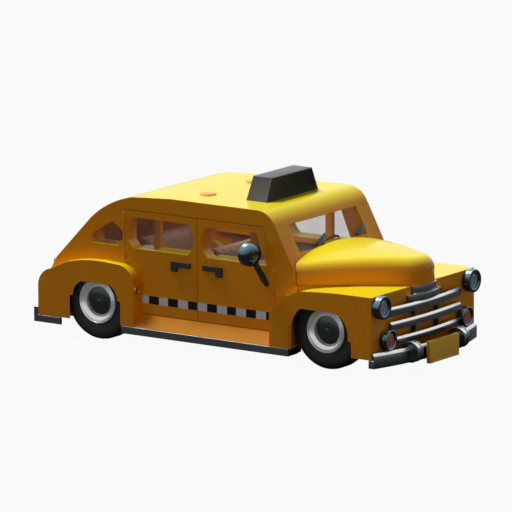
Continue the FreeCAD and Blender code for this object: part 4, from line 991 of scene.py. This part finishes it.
head = turned(head_section, mirror_centre, mirror_axis)
pane = turned(glass_section, mirror_centre, mirror_axis)
arm = bar_between("arm", arm_low, arm_high, (1, 0, 0), arm_width, arm_thick, 0.009)
foot = turned(foot_section, mirror_foot, (0, 1, 0), 32)
for name, piece, material in (("head", head, dark_chrome), ("glass", pane, bright_chrome),
                              ("arm", joined([arm, foot]), dark_chrome)):
    pair(piece, "mirror_" + name + "_SIDE", material, "front_door_SIDE", "chrome", "mirror_SIDE")
print("mirror heads at", [round(v, 3) for v in mirror_centre])

# %% [markdown]
# ## Roof sign
# The lamp box on the roof is a four-sided wedge that narrows upwards. Its faces are left
# blank. A cube is narrowed at the top, its four sides are inset and pushed in to make
# framed panels, and the edges are bevelled. The lid is a separate paler plate.

# %% Sign
sign_low, sign_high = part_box("roof_sign")
sign_base = (sign_low.x, sign_high.x, sign_high.y)
sign_top = (0.179, 0.430, 0.379)
lid_thick = 0.012


def wedge(name, z0, z1):
    """The part of the sign's wedge between two heights."""
    piece = start("cube", size=1.0, location=(0, 0, 0))
    for vertex in piece.data.vertices:
        z = z1 if vertex.co.z > 0 else z0
        part = (z - sign_low.z) / (sign_high.z - sign_low.z)
        rear_x, front_x, half = [low + part * (high - low) for low, high in zip(sign_base, sign_top)]
        vertex.co = (front_x if vertex.co.x > 0 else rear_x, half if vertex.co.y > 0 else -half, z)
    piece.name = name
    return piece


box = wedge("sign", sign_low.z, sign_high.z - lid_thick)
select_faces(box, lambda polygon: abs(polygon.normal.z) < 0.7)
bpy.ops.mesh.inset(thickness=0.016, depth=-0.005, use_individual=True)
bpy.ops.object.mode_set(mode="OBJECT")
lid = wedge("sign_lid", sign_high.z - lid_thick, sign_high.z)
for piece in (box, lid):
    round_edges(piece, 0.004, 30, 40)
box.data.materials.append(sign_gloss)
box.data.materials.append(sign_end)
for polygon in box.data.polygons:
    polygon.material_index = 1 if abs(polygon.normal.y) > 0.6 else 0
finished(box, "roof_sign_box", None, "body", "sign_black", "roof_sign")
finished(lid, "roof_sign_lid", sign_cap, "body", "sign_black")
print("sign from", round(sign_low.z, 3), "to", round(sign_high.z, 3))

# %% [markdown]
# ## Plates
# The plates are blank pressed sheets: a rounded block whose face is inset twice to leave
# a raised border. The front one is thick because its bracket is boxed in.

# %% Number plates
def plate(name, low, high, way):
    """A pressed sheet whose face looks forward, way 1, or back, way -1."""
    piece = rounded_block(name, low, high, 0.005)
    select_faces(piece, lambda polygon: polygon.normal.x * way > 0.99)
    bpy.ops.mesh.inset(thickness=0.009)
    bpy.ops.mesh.inset(thickness=0.003, depth=-0.003)
    bpy.ops.object.mode_set(mode="OBJECT")
    smooth_below(30)
    return piece


plates_low, plates_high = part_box("number_plates")
plate_half, front_thick, rear_thick = plates_high.y, 0.050, 0.0155
front_plate = plate("front_plate", (plates_high.x - front_thick, -plate_half, plates_low.z),
                    (plates_high.x, plate_half, 0.320), 1)
rear_plate = plate("rear_plate", (plates_low.x, -0.160, 0.380),
                   (plates_low.x + rear_thick, 0.160, plates_high.z), -1)
stay = rounded_block("plate_stay", (2.328, -0.120, 0.130), (2.3655, 0.120, 0.230), 0.003)
finished(front_plate, "plate_front", plate_enamel, "body", "plate_yellow", "number_plates")
finished(rear_plate, "plate_rear", plate_enamel, "body", "plate_yellow", "number_plates")
finished(stay, "plate_bracket", chassis_steel, "body", "plate_yellow")
print("plates are blank")

# %% [markdown]
# ## Wipers
# Each wiper has a pivot boss on the glass, a thin arm and a deep dark blade. They lie on
# the slope of the windshield, so both bars are turned onto the line between the blade's
# two ends.

# %% Wipers
glass_foot, glass_head = Vector((1.068, 0, 1.022)), Vector((0.816, 0, 1.500))
glass_rise = glass_head - glass_foot
glass_out = Vector((glass_rise.z, 0, -glass_rise.x)).normalized()
wiper_blades = [((-0.300, 1.228), (-0.090, 1.296)), ((0.440, 1.212), (0.640, 1.278))]
blade_off_glass = 0.008
pivot_section = [(0.0, -0.038), (0.009, -0.038), (0.011, -0.004), (0.011, 0.006), (0.006, 0.010),
                 (0.0, 0.0105)]


def off_glass(y, z):
    """The point of a blade at a width and a height, just off the windshield."""
    share = (z - glass_foot.z) / glass_rise.z
    return Vector((glass_foot.x + share * glass_rise.x, y, z)) + glass_out * blade_off_glass


for number, (low, high) in enumerate(wiper_blades):
    a, b = off_glass(*low), off_glass(*high)
    blade = bar_between("blade", a, b, glass_out, 0.014, 0.050, 0.005)
    arm = bar_between("arm", a.lerp(b, 0.10) + glass_out * 0.012, a.lerp(b, 0.86) + glass_out * 0.010,
                      glass_out, 0.012, 0.012, 0.003)
    pivot = turned(pivot_section, a.lerp(b, 0.2), glass_out, 24)
    wiper = joined([blade, arm, pivot])
    finished(wiper, "wiper_%d" % (number + 1), hub_steel, "body", "black_plastic", "wipers")
print("wipers", len(wiper_blades))

# %% [markdown]
# ## Bench seats
# A bench is a padded cushion and a padded back on a boxed base. Each pad starts as a
# rounded block, a little smaller than its place, cut into even cells by a voxel remesh.
# A short cloth simulation with air pressure and no gravity then swells it, and a cap on
# how far each point may move keeps it in its place. Sewn channels are pressed in after
# that, because remeshing would erase them, and one subdivision smooths the result.

# %% Pads
swell_frames = 20
channel_depth, channel_width = 0.011, 0.016


def swell(piece, cap, pressure):
    """Blow a pad up as cloth, and move no point of it further than cap."""
    before = [vertex.co.copy() for vertex in piece.data.vertices]
    cloth = piece.modifiers.new("swelling", "CLOTH")
    cloth.settings.use_pressure = True
    cloth.settings.uniform_pressure_force = pressure
    cloth.settings.effector_weights.gravity = 0.0
    cloth.settings.quality = 4
    cloth.point_cache.frame_start = 1
    cloth.point_cache.frame_end = swell_frames
    for number in range(1, swell_frames + 1):
        bpy.context.scene.frame_set(number)
    apply_modifiers(piece)
    bpy.context.scene.frame_set(1)
    for vertex, home in zip(piece.data.vertices, before):
        move = vertex.co - home
        if move.length > cap:
            vertex.co = home + move * (cap / move.length)


def press_channels(piece, low, high, channels):
    """Sewn channels across the width, on the face that is sat on or leant on."""
    width = high[1] - low[1]
    tall = high[2] - low[2] > high[0] - low[0]
    vertices = piece.data.vertices
    normals = [vertex.normal.copy() for vertex in vertices]
    for vertex, normal in zip(vertices, normals):
        facing = normal.x if tall else normal.z
        spot = (vertex.co.y - low[1]) / width * channels
        if facing < 0.35 or not 0 < round(spot) < channels:
            continue
        near = abs(spot - round(spot)) * width / channels
        vertex.co -= normal * channel_depth * math.exp(-(near / channel_width) ** 2)


def pad(name, low, high, lean=0.0, voxel=0.012, cap=0.022, channels=9, pressure=4.0):
    """A padded block between two corners, its top moved back by lean."""
    piece = rounded_block(name, low, high, min(high[i] - low[i] for i in range(3)) * 0.3, 4)
    pick(piece)
    for vertex in piece.data.vertices:
        vertex.co.x -= lean * (vertex.co.z - low[2]) / (high[2] - low[2])
    piece.data.remesh_voxel_size = voxel
    bpy.ops.object.voxel_remesh()
    swell(piece, cap, pressure)
    press_channels(piece, low, high, channels)
    smoother = piece.modifiers.new("smoother", "SUBSURF")
    smoother.levels = smoother.render_levels = 1
    apply_modifiers(piece)
    bpy.ops.object.shade_smooth()
    return piece


# %% [markdown]
# The front bench spans the floor's tunnel, so its base is two boxes. The rear bench sits
# on the raised floor behind, so only the front of its cushion has a base below it.

# %% Both benches
tunnel_half, base_foot, base_edge = 0.114, 0.237, 0.012
benches = {
    "front": {
        "cushion": ((-0.085, -0.588, 0.490), (0.412, 0.588, 0.572)),
        "backrest": ((-0.225, -0.588, 0.585), (-0.110, 0.588, 1.100), 0.078),
        "base_x": (-0.090, 0.365), "base_half": 0.560, "base_top": 0.492,
        "back_shell": ((-0.236, -0.592, 0.388), (-0.100, 0.592, 0.600)),
    },
    "rear": {
        "cushion": ((-0.985, -0.550, 0.560), (-0.648, 0.550, 0.648)),
        "backrest": ((-1.232, -0.550, 0.660), (-1.112, 0.550, 1.112), 0.052),
        "base_x": (-0.990, -0.700), "base_half": 0.540, "base_top": 0.565,
        "back_shell": ((-1.238, -0.550, 0.626), (-0.960, 0.550, 0.664)),
    },
}
for place_name, bench in benches.items():
    node = place_name + "_seat"
    for part in ("cushion", "backrest"):
        soft = pad(part, *bench[part])
        finished(soft, node + "_" + part, seat_leather, "body", "seat_tan", node)
        print(soft.name, len(soft.data.polygons), "faces")
    x0, x1 = bench["base_x"]
    blocks = [rounded_block("base", (x0, y0, base_foot), (x1, y1, bench["base_top"]), base_edge)
              for y0, y1 in ((-bench["base_half"], -tunnel_half), (tunnel_half, bench["base_half"]))]
    blocks.append(rounded_block("back_shell", *bench["back_shell"], base_edge))
    finished(joined(blocks), node + "_base", seat_piping, "body", "seat_tan", node)

# %% [markdown]
# ## Steering wheel
# The rim is a thin ring with finger bumps on its underside, on three pairs of thin spokes
# and a round boss with a horn button. Everything is built about the slanting axis of the
# wheel's joint, which is the column's. Spinning one short arc of the rim and repeating it
# would also work, but a torus with a wave pressed into it is quicker to change.

# %% Steering wheel
wheel_hub = Vector(joints["steering_wheel_turn"]["pos_m"])
column = Vector(joints["steering_wheel_turn"]["axis"]).normalized()
sideways = Vector((0, 1, 0))
downward = column.cross(sideways).normalized()
rim_radius, rim_thick, finger_bumps = 0.205, 0.0125, 40
spoke_apart, spoke_thick = 0.012, 0.007
ring = start("torus", major_segments=120, minor_segments=14, major_radius=rim_radius, minor_radius=rim_thick)
for vertex in ring.data.vertices:
    angle = math.atan2(vertex.co.y, vertex.co.x)
    if vertex.co.z < 0:
        vertex.co.z *= 0.86 + 0.14 * math.cos(angle * finger_bumps)
ring.matrix_world = Matrix.Translation(wheel_hub) @ column.to_track_quat("Z", "Y").to_matrix().to_4x4()
place_in_mesh(ring)
bpy.ops.object.shade_smooth()
boss_section = [(0.0, -0.025), (0.036, -0.025), (0.038, -0.020), (0.038, 0.004), (0.034, 0.010),
                (0.026, 0.012), (0.025, 0.0135), (0.012, 0.0148), (0.0, 0.015)]
wheel_parts = [ring, turned(boss_section, wheel_hub, column, 40)]
for way in (sideways, -sideways, downward):
    across = way.cross(column)
    for offset in (-spoke_apart, spoke_apart):
        root = wheel_hub + across * offset
        wheel_parts.append(bar_between("spoke", root + way * 0.030, root + way * 0.200, across,
                                       spoke_thick, spoke_thick, 0.002))
finished(joined(wheel_parts), "steering_wheel_rim", black_plastic, "steering_wheel", "black_plastic",
         "steering_wheel")
print("steering wheel leans", round(math.degrees(math.asin(column.z)), 1), "degrees")

# %% [markdown]
# ## Dashboard
# The dashboard is a shelf with three round dials in front of the driver, a glove box lid
# and a row of grille slots. It is rounded from the CAD shape. Each dial is a turned bezel
# and a pale turned face, with a needle and a ring of ticks that are thin bars.

# %% Dials
softened("dashboard", 0.006)
dash_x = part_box("dashboard")[0].x
dial_face = moulded("dial_face", (0.62, 0.60, 0.52), 0.5, 300.0, 0.05)
dial_apart, dial_z = 0.112, 0.946
dials = [(wheel_hub.y, 0.046), (wheel_hub.y - dial_apart, 0.032), (wheel_hub.y + dial_apart, 0.032)]


def bezel_section(radius):
    return [(radius, 0.006), (radius, -0.007), (radius + 0.003, -0.010), (radius + 0.006, -0.008),
            (radius + 0.008, 0.006), (radius, 0.006)]


def face_section(radius):
    return [(0.0, -0.002), (radius + 0.001, -0.002), (radius + 0.001, 0.004), (0.0, 0.004)]


def hand(name, centre, angle, inner, outer, width, edge):
    """A thin bar on a dial that points away from its centre."""
    ray = Vector((0, math.cos(angle), -math.sin(angle)))
    across = (0, ray.z, -ray.y)
    return bar_between(name, centre + ray * inner, centre + ray * outer, across, width, width, edge)


bezels, faces, marks = [], [], []
for y, radius in dials:
    spot = Vector((dash_x, y, dial_z))
    bezels.append(turned(bezel_section(radius), spot, (1, 0, 0), 40))
    faces.append(turned(face_section(radius), spot, (1, 0, 0), 32))
    centre = spot + Vector((-0.0025, 0, 0))
    for degrees in range(-210, 31, 30):
        marks.append(hand("tick", centre, math.radians(degrees), radius * 0.74, radius * 0.92, 0.002, 0.0004))
    marks.append(hand("needle", centre, math.radians(-120), 0.0, radius * 0.8, 0.003, 0.0008))
finished(joined(bezels), "dial_bezels", bright_chrome, "body", "chrome")
finished(joined(faces), "dial_faces", dial_face, "body", "black_plastic")
finished(joined(marks), "dial_needles", black_plastic, "body", "black_plastic")
print("dials", len(dials))

# %% Grille and glove box
slot_y, slot_pitch, slot_wide, slot_proud = -0.110, 0.024, 0.012, 0.004
slots = []
for number in range(10):
    y = slot_y + number * slot_pitch
    slots.append(rounded_block("slot", (dash_x - slot_proud, y, 0.905),
                               (dash_x + slot_proud, y + slot_wide, 0.985), 0.002))
finished(joined(slots), "dash_grille", bright_chrome, "body", "chrome")
lid = rounded_block("glove_lid", (dash_x - 0.005, -0.520, 0.898), (dash_x + 0.004, -0.210, 0.990), 0.003)
knob_section = [(0.0, 0.004), (0.006, 0.004), (0.006, -0.010), (0.012, -0.013), (0.012, -0.019),
                (0.0, -0.021)]
knob = turned(knob_section, (dash_x, -0.365, 0.975), (1, 0, 0), 24)
finished(lid, "glove_box_lid", black_plastic, "body", "black_plastic")
finished(knob, "glove_box_knob", bright_chrome, "body", "chrome")
print("dashboard face at", dash_x)

# %% [markdown]
# ## Small round fittings
# Two shallow caps sit on the roof behind the sign, and each rear fender has a ringed
# filler cap on its front face. Both are turned, with a stepped edge.

# %% Roof caps and filler caps
cap_finish = moulded("cap_orange", (1.0, 0.40, 0.08), 0.35, 200.0, 0.05)
cap_section = [(0.0, 0.0), (0.091, 0.0), (0.091, 0.009), (0.0895, 0.0135), (0.085, 0.0150), (0.078, 0.0148),
               (0.074, 0.0130), (0.068, 0.0130), (0.064, 0.0150), (0.050, 0.0165), (0.0, 0.0172)]
cap = turned(cap_section, (-0.380, 0.440, 1.658), (0, 0, 1), 56)
pair(cap, "roof_cap_SIDE", cap_finish, "body", "body_yellow")
brass = metal("brass", (0.62, 0.36, 0.06), 0.3, 90.0).material
filler_section = [(0.0, 0.0), (0.0475, 0.0), (0.0475, 0.012), (0.0455, 0.0175), (0.040, 0.0195),
                  (0.035, 0.0175), (0.032, 0.0140), (0.020, 0.0150), (0.0, 0.0155)]
filler = turned(filler_section, (-0.994, 0.941, 0.612), (1, 0, 0), 40)
pair(filler, "filler_cap_SIDE", brass, "body", "body_yellow")
print("caps", cap.name, filler.name)

# %% [markdown]
# ## Joint between cowl and fender
# The side of the cowl and the front fender meet in a closed seam. A small rounded block
# fills it on each side: a bevelled cube is enough, since only its outer face shows.

# %% Cowl seam
seam = rounded_block("cowl_seam", (1.022, 0.858, 0.776), (1.100, 0.8825, 0.880), 0.004)
pair(seam, "cowl_seam_SIDE", yellow, "body", "body_yellow")
print("seam", [round(length, 3) for length in seam.dimensions])

# %% [markdown]
# ## Engine
# With the hood up, a straight six is seen: a ribbed block on a shallow pan, a head, a long
# rocker cover, six short pipes into an exhaust log and a drum air cleaner on its duct.
# Castings are rounded blocks and everything round is turned. One piece per finish keeps
# the list short, so the blocks are joined by their metal.

# %% Block, head and manifolds
def pipe(low, high, radius, steps=20):
    """A straight round bar between two points, with softened ends."""
    run = Vector(high) - Vector(low)
    soft = radius * 0.12
    return turned([(0.0, 0.0), (radius - soft, 0.0), (radius, soft), (radius, run.length - soft),
                   (radius - soft, run.length), (0.0, run.length)], low, run, steps)


engine_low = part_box("engine_block")[0]
cylinders, cylinder_pitch = 6, 0.0775
block_x, block_half = (1.125, 1.640), 0.145
sump_z, deck_z, head_z, cover_z = 0.470, 0.660, 0.722, 0.792
bell_section = [(0.0, 0.0), (0.185, 0.0), (0.190, 0.004), (0.190, 0.018), (0.165, 0.024), (0.0, 0.024)]
iron = [
    rounded_block("pan", (1.140, -0.130, engine_low.z + 0.002), (1.600, 0.130, sump_z), 0.02, 3),
    rounded_block("flange", (block_x[0], -0.155, sump_z - 0.008), (block_x[1], 0.155, sump_z + 0.004), 0.003),
    rounded_block("block", (block_x[0], -block_half, sump_z), (block_x[1], block_half, deck_z), 0.008),
    rounded_block("head", (1.135, -0.105, deck_z - 0.004), (1.632, 0.105, head_z), 0.006),
    rounded_block("intake", (1.200, 0.100, 0.640), (1.570, 0.160, 0.672), 0.012, 3),
    rounded_block("intake_link", (1.368, 0.150, 0.640), (1.432, 0.235, 0.668), 0.010, 3),
    turned(bell_section, (engine_low.x, 0, 0.565), (1, 0, 0), 56),
]
rib_half, rib_thick = block_half + 0.008, 0.010
for number in range(cylinders + 1):
    x = 1.150 + number * cylinder_pitch
    iron.append(rounded_block("rib", (x, -rib_half, sump_z + 0.006),
                              (x + rib_thick, rib_half, deck_z - 0.010), 0.002))
finished(joined(iron), "engine_castings", engine_iron, "body", "engine_iron", "engine_block")
log_y, log_z = -0.172, 0.670
log = [pipe((1.170, log_y, log_z), (1.605, log_y, log_z), 0.027, 28),
       pipe((1.215, log_y, log_z), (1.215, log_y, 0.480), 0.022)]
for number in range(cylinders):
    x = 1.194 + number * cylinder_pitch
    log.append(pipe((x, -0.100, 0.690), (x, log_y, log_z + 0.002), 0.018))
finished(joined(log), "exhaust_log", exhaust_steel, "body", "dark_steel")
print("engine parts", len(iron) + len(log))

# %% Covers and fittings
cover_paint = moulded("cover_paint", (0.020, 0.030, 0.026), 0.35, 200.0, 0.05)
cleaner_foot = Vector((1.400, 0.196, 0.742))
cleaner_section = [(0.0, 0.0), (0.090, 0.0), (0.102, 0.007), (0.105, 0.014), (0.105, 0.046), (0.101, 0.050),
                   (0.105, 0.054), (0.105, 0.074), (0.098, 0.083), (0.060, 0.088), (0.0, 0.090)]
covers = [
    rounded_block("rocker", (1.150, -0.072, head_z - 0.002), (1.618, 0.072, cover_z), 0.022, 4),
    rounded_block("rocker_lip", (1.142, -0.084, head_z - 0.004), (1.626, 0.084, head_z + 0.006), 0.003),
    turned(cleaner_section, cleaner_foot, (0, 0, 1), 56),
    pipe(cleaner_foot - Vector((0, 0, 0.078)), cleaner_foot + Vector((0, 0, 0.003)), 0.032, 28),
]
finished(joined(covers), "engine_covers", cover_paint, "body", "engine_iron")
filler_cap = [(0.0, 0.0), (0.027, 0.0), (0.027, 0.012), (0.023, 0.018), (0.0, 0.019)]
nut = [(0.0, 0.0), (0.012, 0.0), (0.012, 0.006), (0.006, 0.008), (0.006, 0.014), (0.0, 0.015)]
bright = [turned(filler_cap, (1.555, 0, cover_z - 0.002), (0, 0, 1), 32)]
for spot in ((1.240, 0, cover_z - 0.002), (1.420, 0, cover_z - 0.002), cleaner_foot + Vector((0, 0, 0.088))):
    bright.append(turned(nut, spot, (0, 0, 1), 20))
finished(joined(bright), "engine_bright_fittings", bright_chrome, "body", "chrome")
spark_x, spark_y = 1.604, 0.172
post_section = [(0.0, 0.0), (0.016, 0.0), (0.016, 0.060), (0.034, 0.064), (0.036, 0.100), (0.030, 0.110),
                (0.0, 0.112)]
spark_parts = [turned(post_section, (spark_x, spark_y, 0.606), (0, 0, 1), 32)]
for number in range(cylinders):
    angle = math.tau * number / cylinders
    x, y = spark_x + 0.022 * math.cos(angle), spark_y + 0.022 * math.sin(angle)
    spark_parts.append(pipe((x, y, 0.712), (x, y, 0.734), 0.006, 12))
finished(joined(spark_parts), "spark_cap", black_plastic, "body", "black_plastic")
print("rocker cover top", cover_z)

# %% [markdown]
# ## Fan, belt and radiator
# A belt runs from the crank pulley to the fan pulley. Its path is drawn round both rims,
# pulled to the belt's width and given a thickness. The radiator is a finned core between
# two tanks, and a straight hose joins its top tank to the head.

# %% Fan and pulleys
pulley_x, crank_z, pump_z = 1.636, 0.500, 0.652
crank_radius, pump_radius = 0.078, 0.052
forward = Vector((1, 0, 0))
pump = Vector((pulley_x, 0, pump_z))


def pulley_section(radius):
    return [(0.0, 0.0), (0.030, 0.0), (0.030, 0.010), (radius, 0.010), (radius, 0.014),
            (radius * 0.86, 0.020), (radius, 0.026), (radius, 0.030), (0.030, 0.030), (0.030, 0.036),
            (0.0, 0.036)]


drive = [turned(pulley_section(radius), (pulley_x, 0, z), forward, 40)
         for radius, z in ((crank_radius, crank_z), (pump_radius, pump_z))]
fan_centre = pump + forward * 0.046
for number in range(4):
    angle = math.radians(45 + 90 * number)
    ray = Vector((0, math.cos(angle), math.sin(angle)))
    sweep = forward.cross(ray) + forward * 0.32
    drive.append(bar_between("blade", fan_centre + ray * 0.020, fan_centre + ray * 0.165, sweep, 0.070, 0.004,
                             0.0015))
drive.append(pipe(pump + forward * 0.030, pump + forward * 0.062, 0.026, 28))
finished(joined(drive), "fan_and_pulleys", chassis_steel, "body", "dark_steel")
print("fan and pulleys", len(drive), "parts")

# %% Belt
belt_x, belt_wide, belt_thick = 1.650, 0.012, 0.005
arc_steps = 16
tilt = math.asin((crank_radius - pump_radius) / (pump_z - crank_z))
loop = []
for first, turn, radius, z in ((tilt, math.pi - 2 * tilt, pump_radius, pump_z),
                               (math.pi - tilt, math.pi + 2 * tilt, crank_radius, crank_z)):
    for step in range(arc_steps + 1):
        angle = first + turn * step / arc_steps
        loop.append((belt_x, radius * math.cos(angle), z + radius * math.sin(angle)))
belt = drawn(loop + loop[:1])
bpy.ops.mesh.remove_doubles(threshold=merge_gap)
bpy.ops.mesh.select_all(action="SELECT")
bpy.ops.mesh.extrude_region_move(TRANSFORM_OT_translate={"value": (belt_wide, 0, 0)})
leave_facing_out()
wall = belt.modifiers.new("wall", "SOLIDIFY")
wall.thickness = belt_thick
wall.offset = 1.0
apply_modifiers(belt)
finished(belt, "fan_belt", rubber, "body", "black_plastic")
print("belt points", len(loop))

# %% Radiator
fins, fin_pitch, fin_half = 33, 0.015, 0.0022
core = [rounded_block("core", (1.806, -0.245, 0.440), (1.838, 0.245, 0.800), 0.003)]
for number in range(fins):
    y = -0.240 + number * fin_pitch
    core.append(rounded_block("fin", (1.801, y - fin_half, 0.446), (1.843, y + fin_half, 0.796), 0.001, 1))
finished(joined(core), "radiator_core", chassis_steel, "body", "dark_steel")
tank_half = 0.258
tanks = [rounded_block("top_tank", (1.788, -tank_half, 0.794), (1.852, tank_half, 0.850), 0.016, 4),
         rounded_block("low_tank", (1.790, -tank_half, 0.418), (1.850, tank_half, 0.452), 0.010, 3)]
for way in (-1, 1):
    low_y, high_y = sorted((way * 0.242, way * tank_half))
    tanks.append(rounded_block("strap", (1.796, low_y, 0.430), (1.848, high_y, 0.810), 0.003))
hose_low, hose_high = Vector((1.600, 0.045, 0.700)), Vector((1.796, 0.120, 0.822))
tanks.append(pipe(hose_low, hose_high, 0.019, 24))
finished(joined(tanks), "radiator_tanks", black_plastic, "body", "black_plastic")
print("fins", fins)

# %% Radiator cap, hose clips and battery
cap_profile = [(0.0, 0.0), (0.030, 0.0), (0.032, 0.004), (0.032, 0.010), (0.026, 0.016), (0.0, 0.018)]
clip_profile = [(0.0, 0.0), (0.0215, 0.0), (0.0215, 0.010), (0.0, 0.010)]
bright = [turned(cap_profile, (1.820, -0.080, 0.849), (0, 0, 1), 32)]
for share in (0.08, 0.90):
    bright.append(turned(clip_profile, hose_low.lerp(hose_high, share), hose_high - hose_low, 24))
for y in (-0.345, -0.288):
    bright.append(pipe((1.345, y, 0.636), (1.345, y, 0.662), 0.008, 16))
finished(joined(bright), "radiator_cap_and_clips", bright_chrome, "body", "chrome")
battery = [rounded_block("case", (1.310, -0.374, 0.491), (1.520, -0.264, 0.628), 0.005),
           rounded_block("case_lid", (1.306, -0.378, 0.622), (1.524, -0.260, 0.640), 0.004)]
for number in range(6):
    x = 1.372 + number * 0.026
    battery.append(pipe((x, -0.318, 0.636), (x, -0.318, 0.648), 0.009, 14))
finished(joined(battery), "battery", black_plastic, "body", "black_plastic")
print("battery parts", len(battery))

# %% [markdown]
# ## Door cards
# Inside, each door has a leather card in a plain frame, an arm rest, a window winder and a
# latch lever. The card is a thin block whose inner face is inset and pushed back, and it
# rides on its door. The small controls are shown but do not turn.

# %% Cards, arm rests and winders
card_y, card_z = (0.7215, 0.7345), (0.430, 0.975)
inward = Vector((0, -1, 0))
door_layouts = {
    "front": {"card_x": (-0.140, 0.742), "crank": 0.1872, "lever": -0.234, "lever_long": 0.072},
    "rear": {"card_x": (-0.885, -0.290), "crank": 0.144, "lever": 0.20, "lever_long": -0.072},
}
crank_boss = [(0.0, 0.0), (0.024, 0.0), (0.022, 0.010), (0.012, 0.016), (0.010, 0.028), (0.0, 0.030)]
crank_knob = [(0.0, 0.0), (0.008, 0.0), (0.011, 0.010), (0.009, 0.026), (0.0, 0.029)]
lever_boss = [(0.0, 0.0), (0.020, 0.0), (0.018, 0.008), (0.009, 0.012), (0.009, 0.022), (0.0, 0.023)]


def door_card(x0, x1):
    """A padded panel in a plain frame, its face towards the cabin."""
    card = rounded_block("card", (x0, card_y[0], card_z[0]), (x1, card_y[1], card_z[1]), 0.004)
    select_faces(card, lambda polygon: polygon.normal.y < -0.99)
    for margin, depth in ((0.045, 0.0), (0.006, -0.004), (0.012, 0.0035)):
        bpy.ops.mesh.inset(thickness=margin, depth=depth)
    bpy.ops.object.mode_set(mode="OBJECT")
    return card


def door_controls(crank_x, lever_x, lever_long):
    """A window winder and a latch lever, joined."""
    crank_at = Vector((crank_x, card_y[0] + 0.002, 0.660))
    knob_at = crank_at + Vector((-0.088, -0.028, 0.030))
    lever_at = Vector((lever_x, card_y[0] + 0.002, 0.860))
    return joined([
        turned(crank_boss, crank_at, inward, 28),
        bar_between("handle", crank_at + inward * 0.024, knob_at - inward * 0.002, (0, 0, 1),
                    0.013, 0.006, 0.002),
        turned(crank_knob, knob_at, inward, 24),
        turned(lever_boss, lever_at, inward, 24),
        bar_between("lever", lever_at + inward * 0.020, lever_at + Vector((lever_long, -0.022, 0)), (0, 0, 1),
                    0.014, 0.007, 0.003)])


for end, layout in door_layouts.items():
    x0, x1 = layout["card_x"]
    middle = (x0 + x1) / 2
    rest_half = min(0.15, (x1 - x0) * 0.25)
    card = door_card(x0, x1)
    rest = rounded_block("rest", (middle - rest_half, 0.664, 0.742),
                         (middle + rest_half, card_y[0] + 0.003, 0.790), 0.016, 4)
    controls = door_controls(middle + layout["crank"], middle + layout["lever"], layout["lever_long"])
    door = end + "_door_SIDE"
    pair(card, door + "_card", seat_leather, door, "seat_tan")
    pair(rest, door + "_arm_rest", seat_piping, door, "seat_tan")
    pair(controls, door + "_winder", bright_chrome, door, "chrome")
    print(end, "card", round(x1 - x0, 3), "m long")

# %% [markdown]
# ## Trunk handle
# The trunk lid is lifted by a T handle low on its slope: a turned stem and a rounded grip
# across the car. It rides on the lid, so it swings up with it.

# %% Trunk handle
slope = Vector((0.457, 0, 0.474)).normalized()
lid_out = Vector((-slope.z, 0, slope.x))
grip_place = Vector((-2.109, 0, 0.859)) + slope * 0.09
grip_half = Vector((0, 0.060, 0))
stem_section = [(0.0, -0.006), (0.026, -0.006), (0.026, 0.002), (0.022, 0.006), (0.011, 0.009),
                (0.009, 0.026), (0.0, 0.026)]
stem = turned(stem_section, grip_place, lid_out, 32)
grip_centre = grip_place + lid_out * 0.028
grip = bar_between("grip", grip_centre - grip_half, grip_centre + grip_half, slope, 0.018, 0.014, 0.006)
finished(joined([stem, grip]), "trunk_handle", bright_chrome, "trunk_lid", "chrome")
print("trunk handle at z", round(grip_place.z, 3))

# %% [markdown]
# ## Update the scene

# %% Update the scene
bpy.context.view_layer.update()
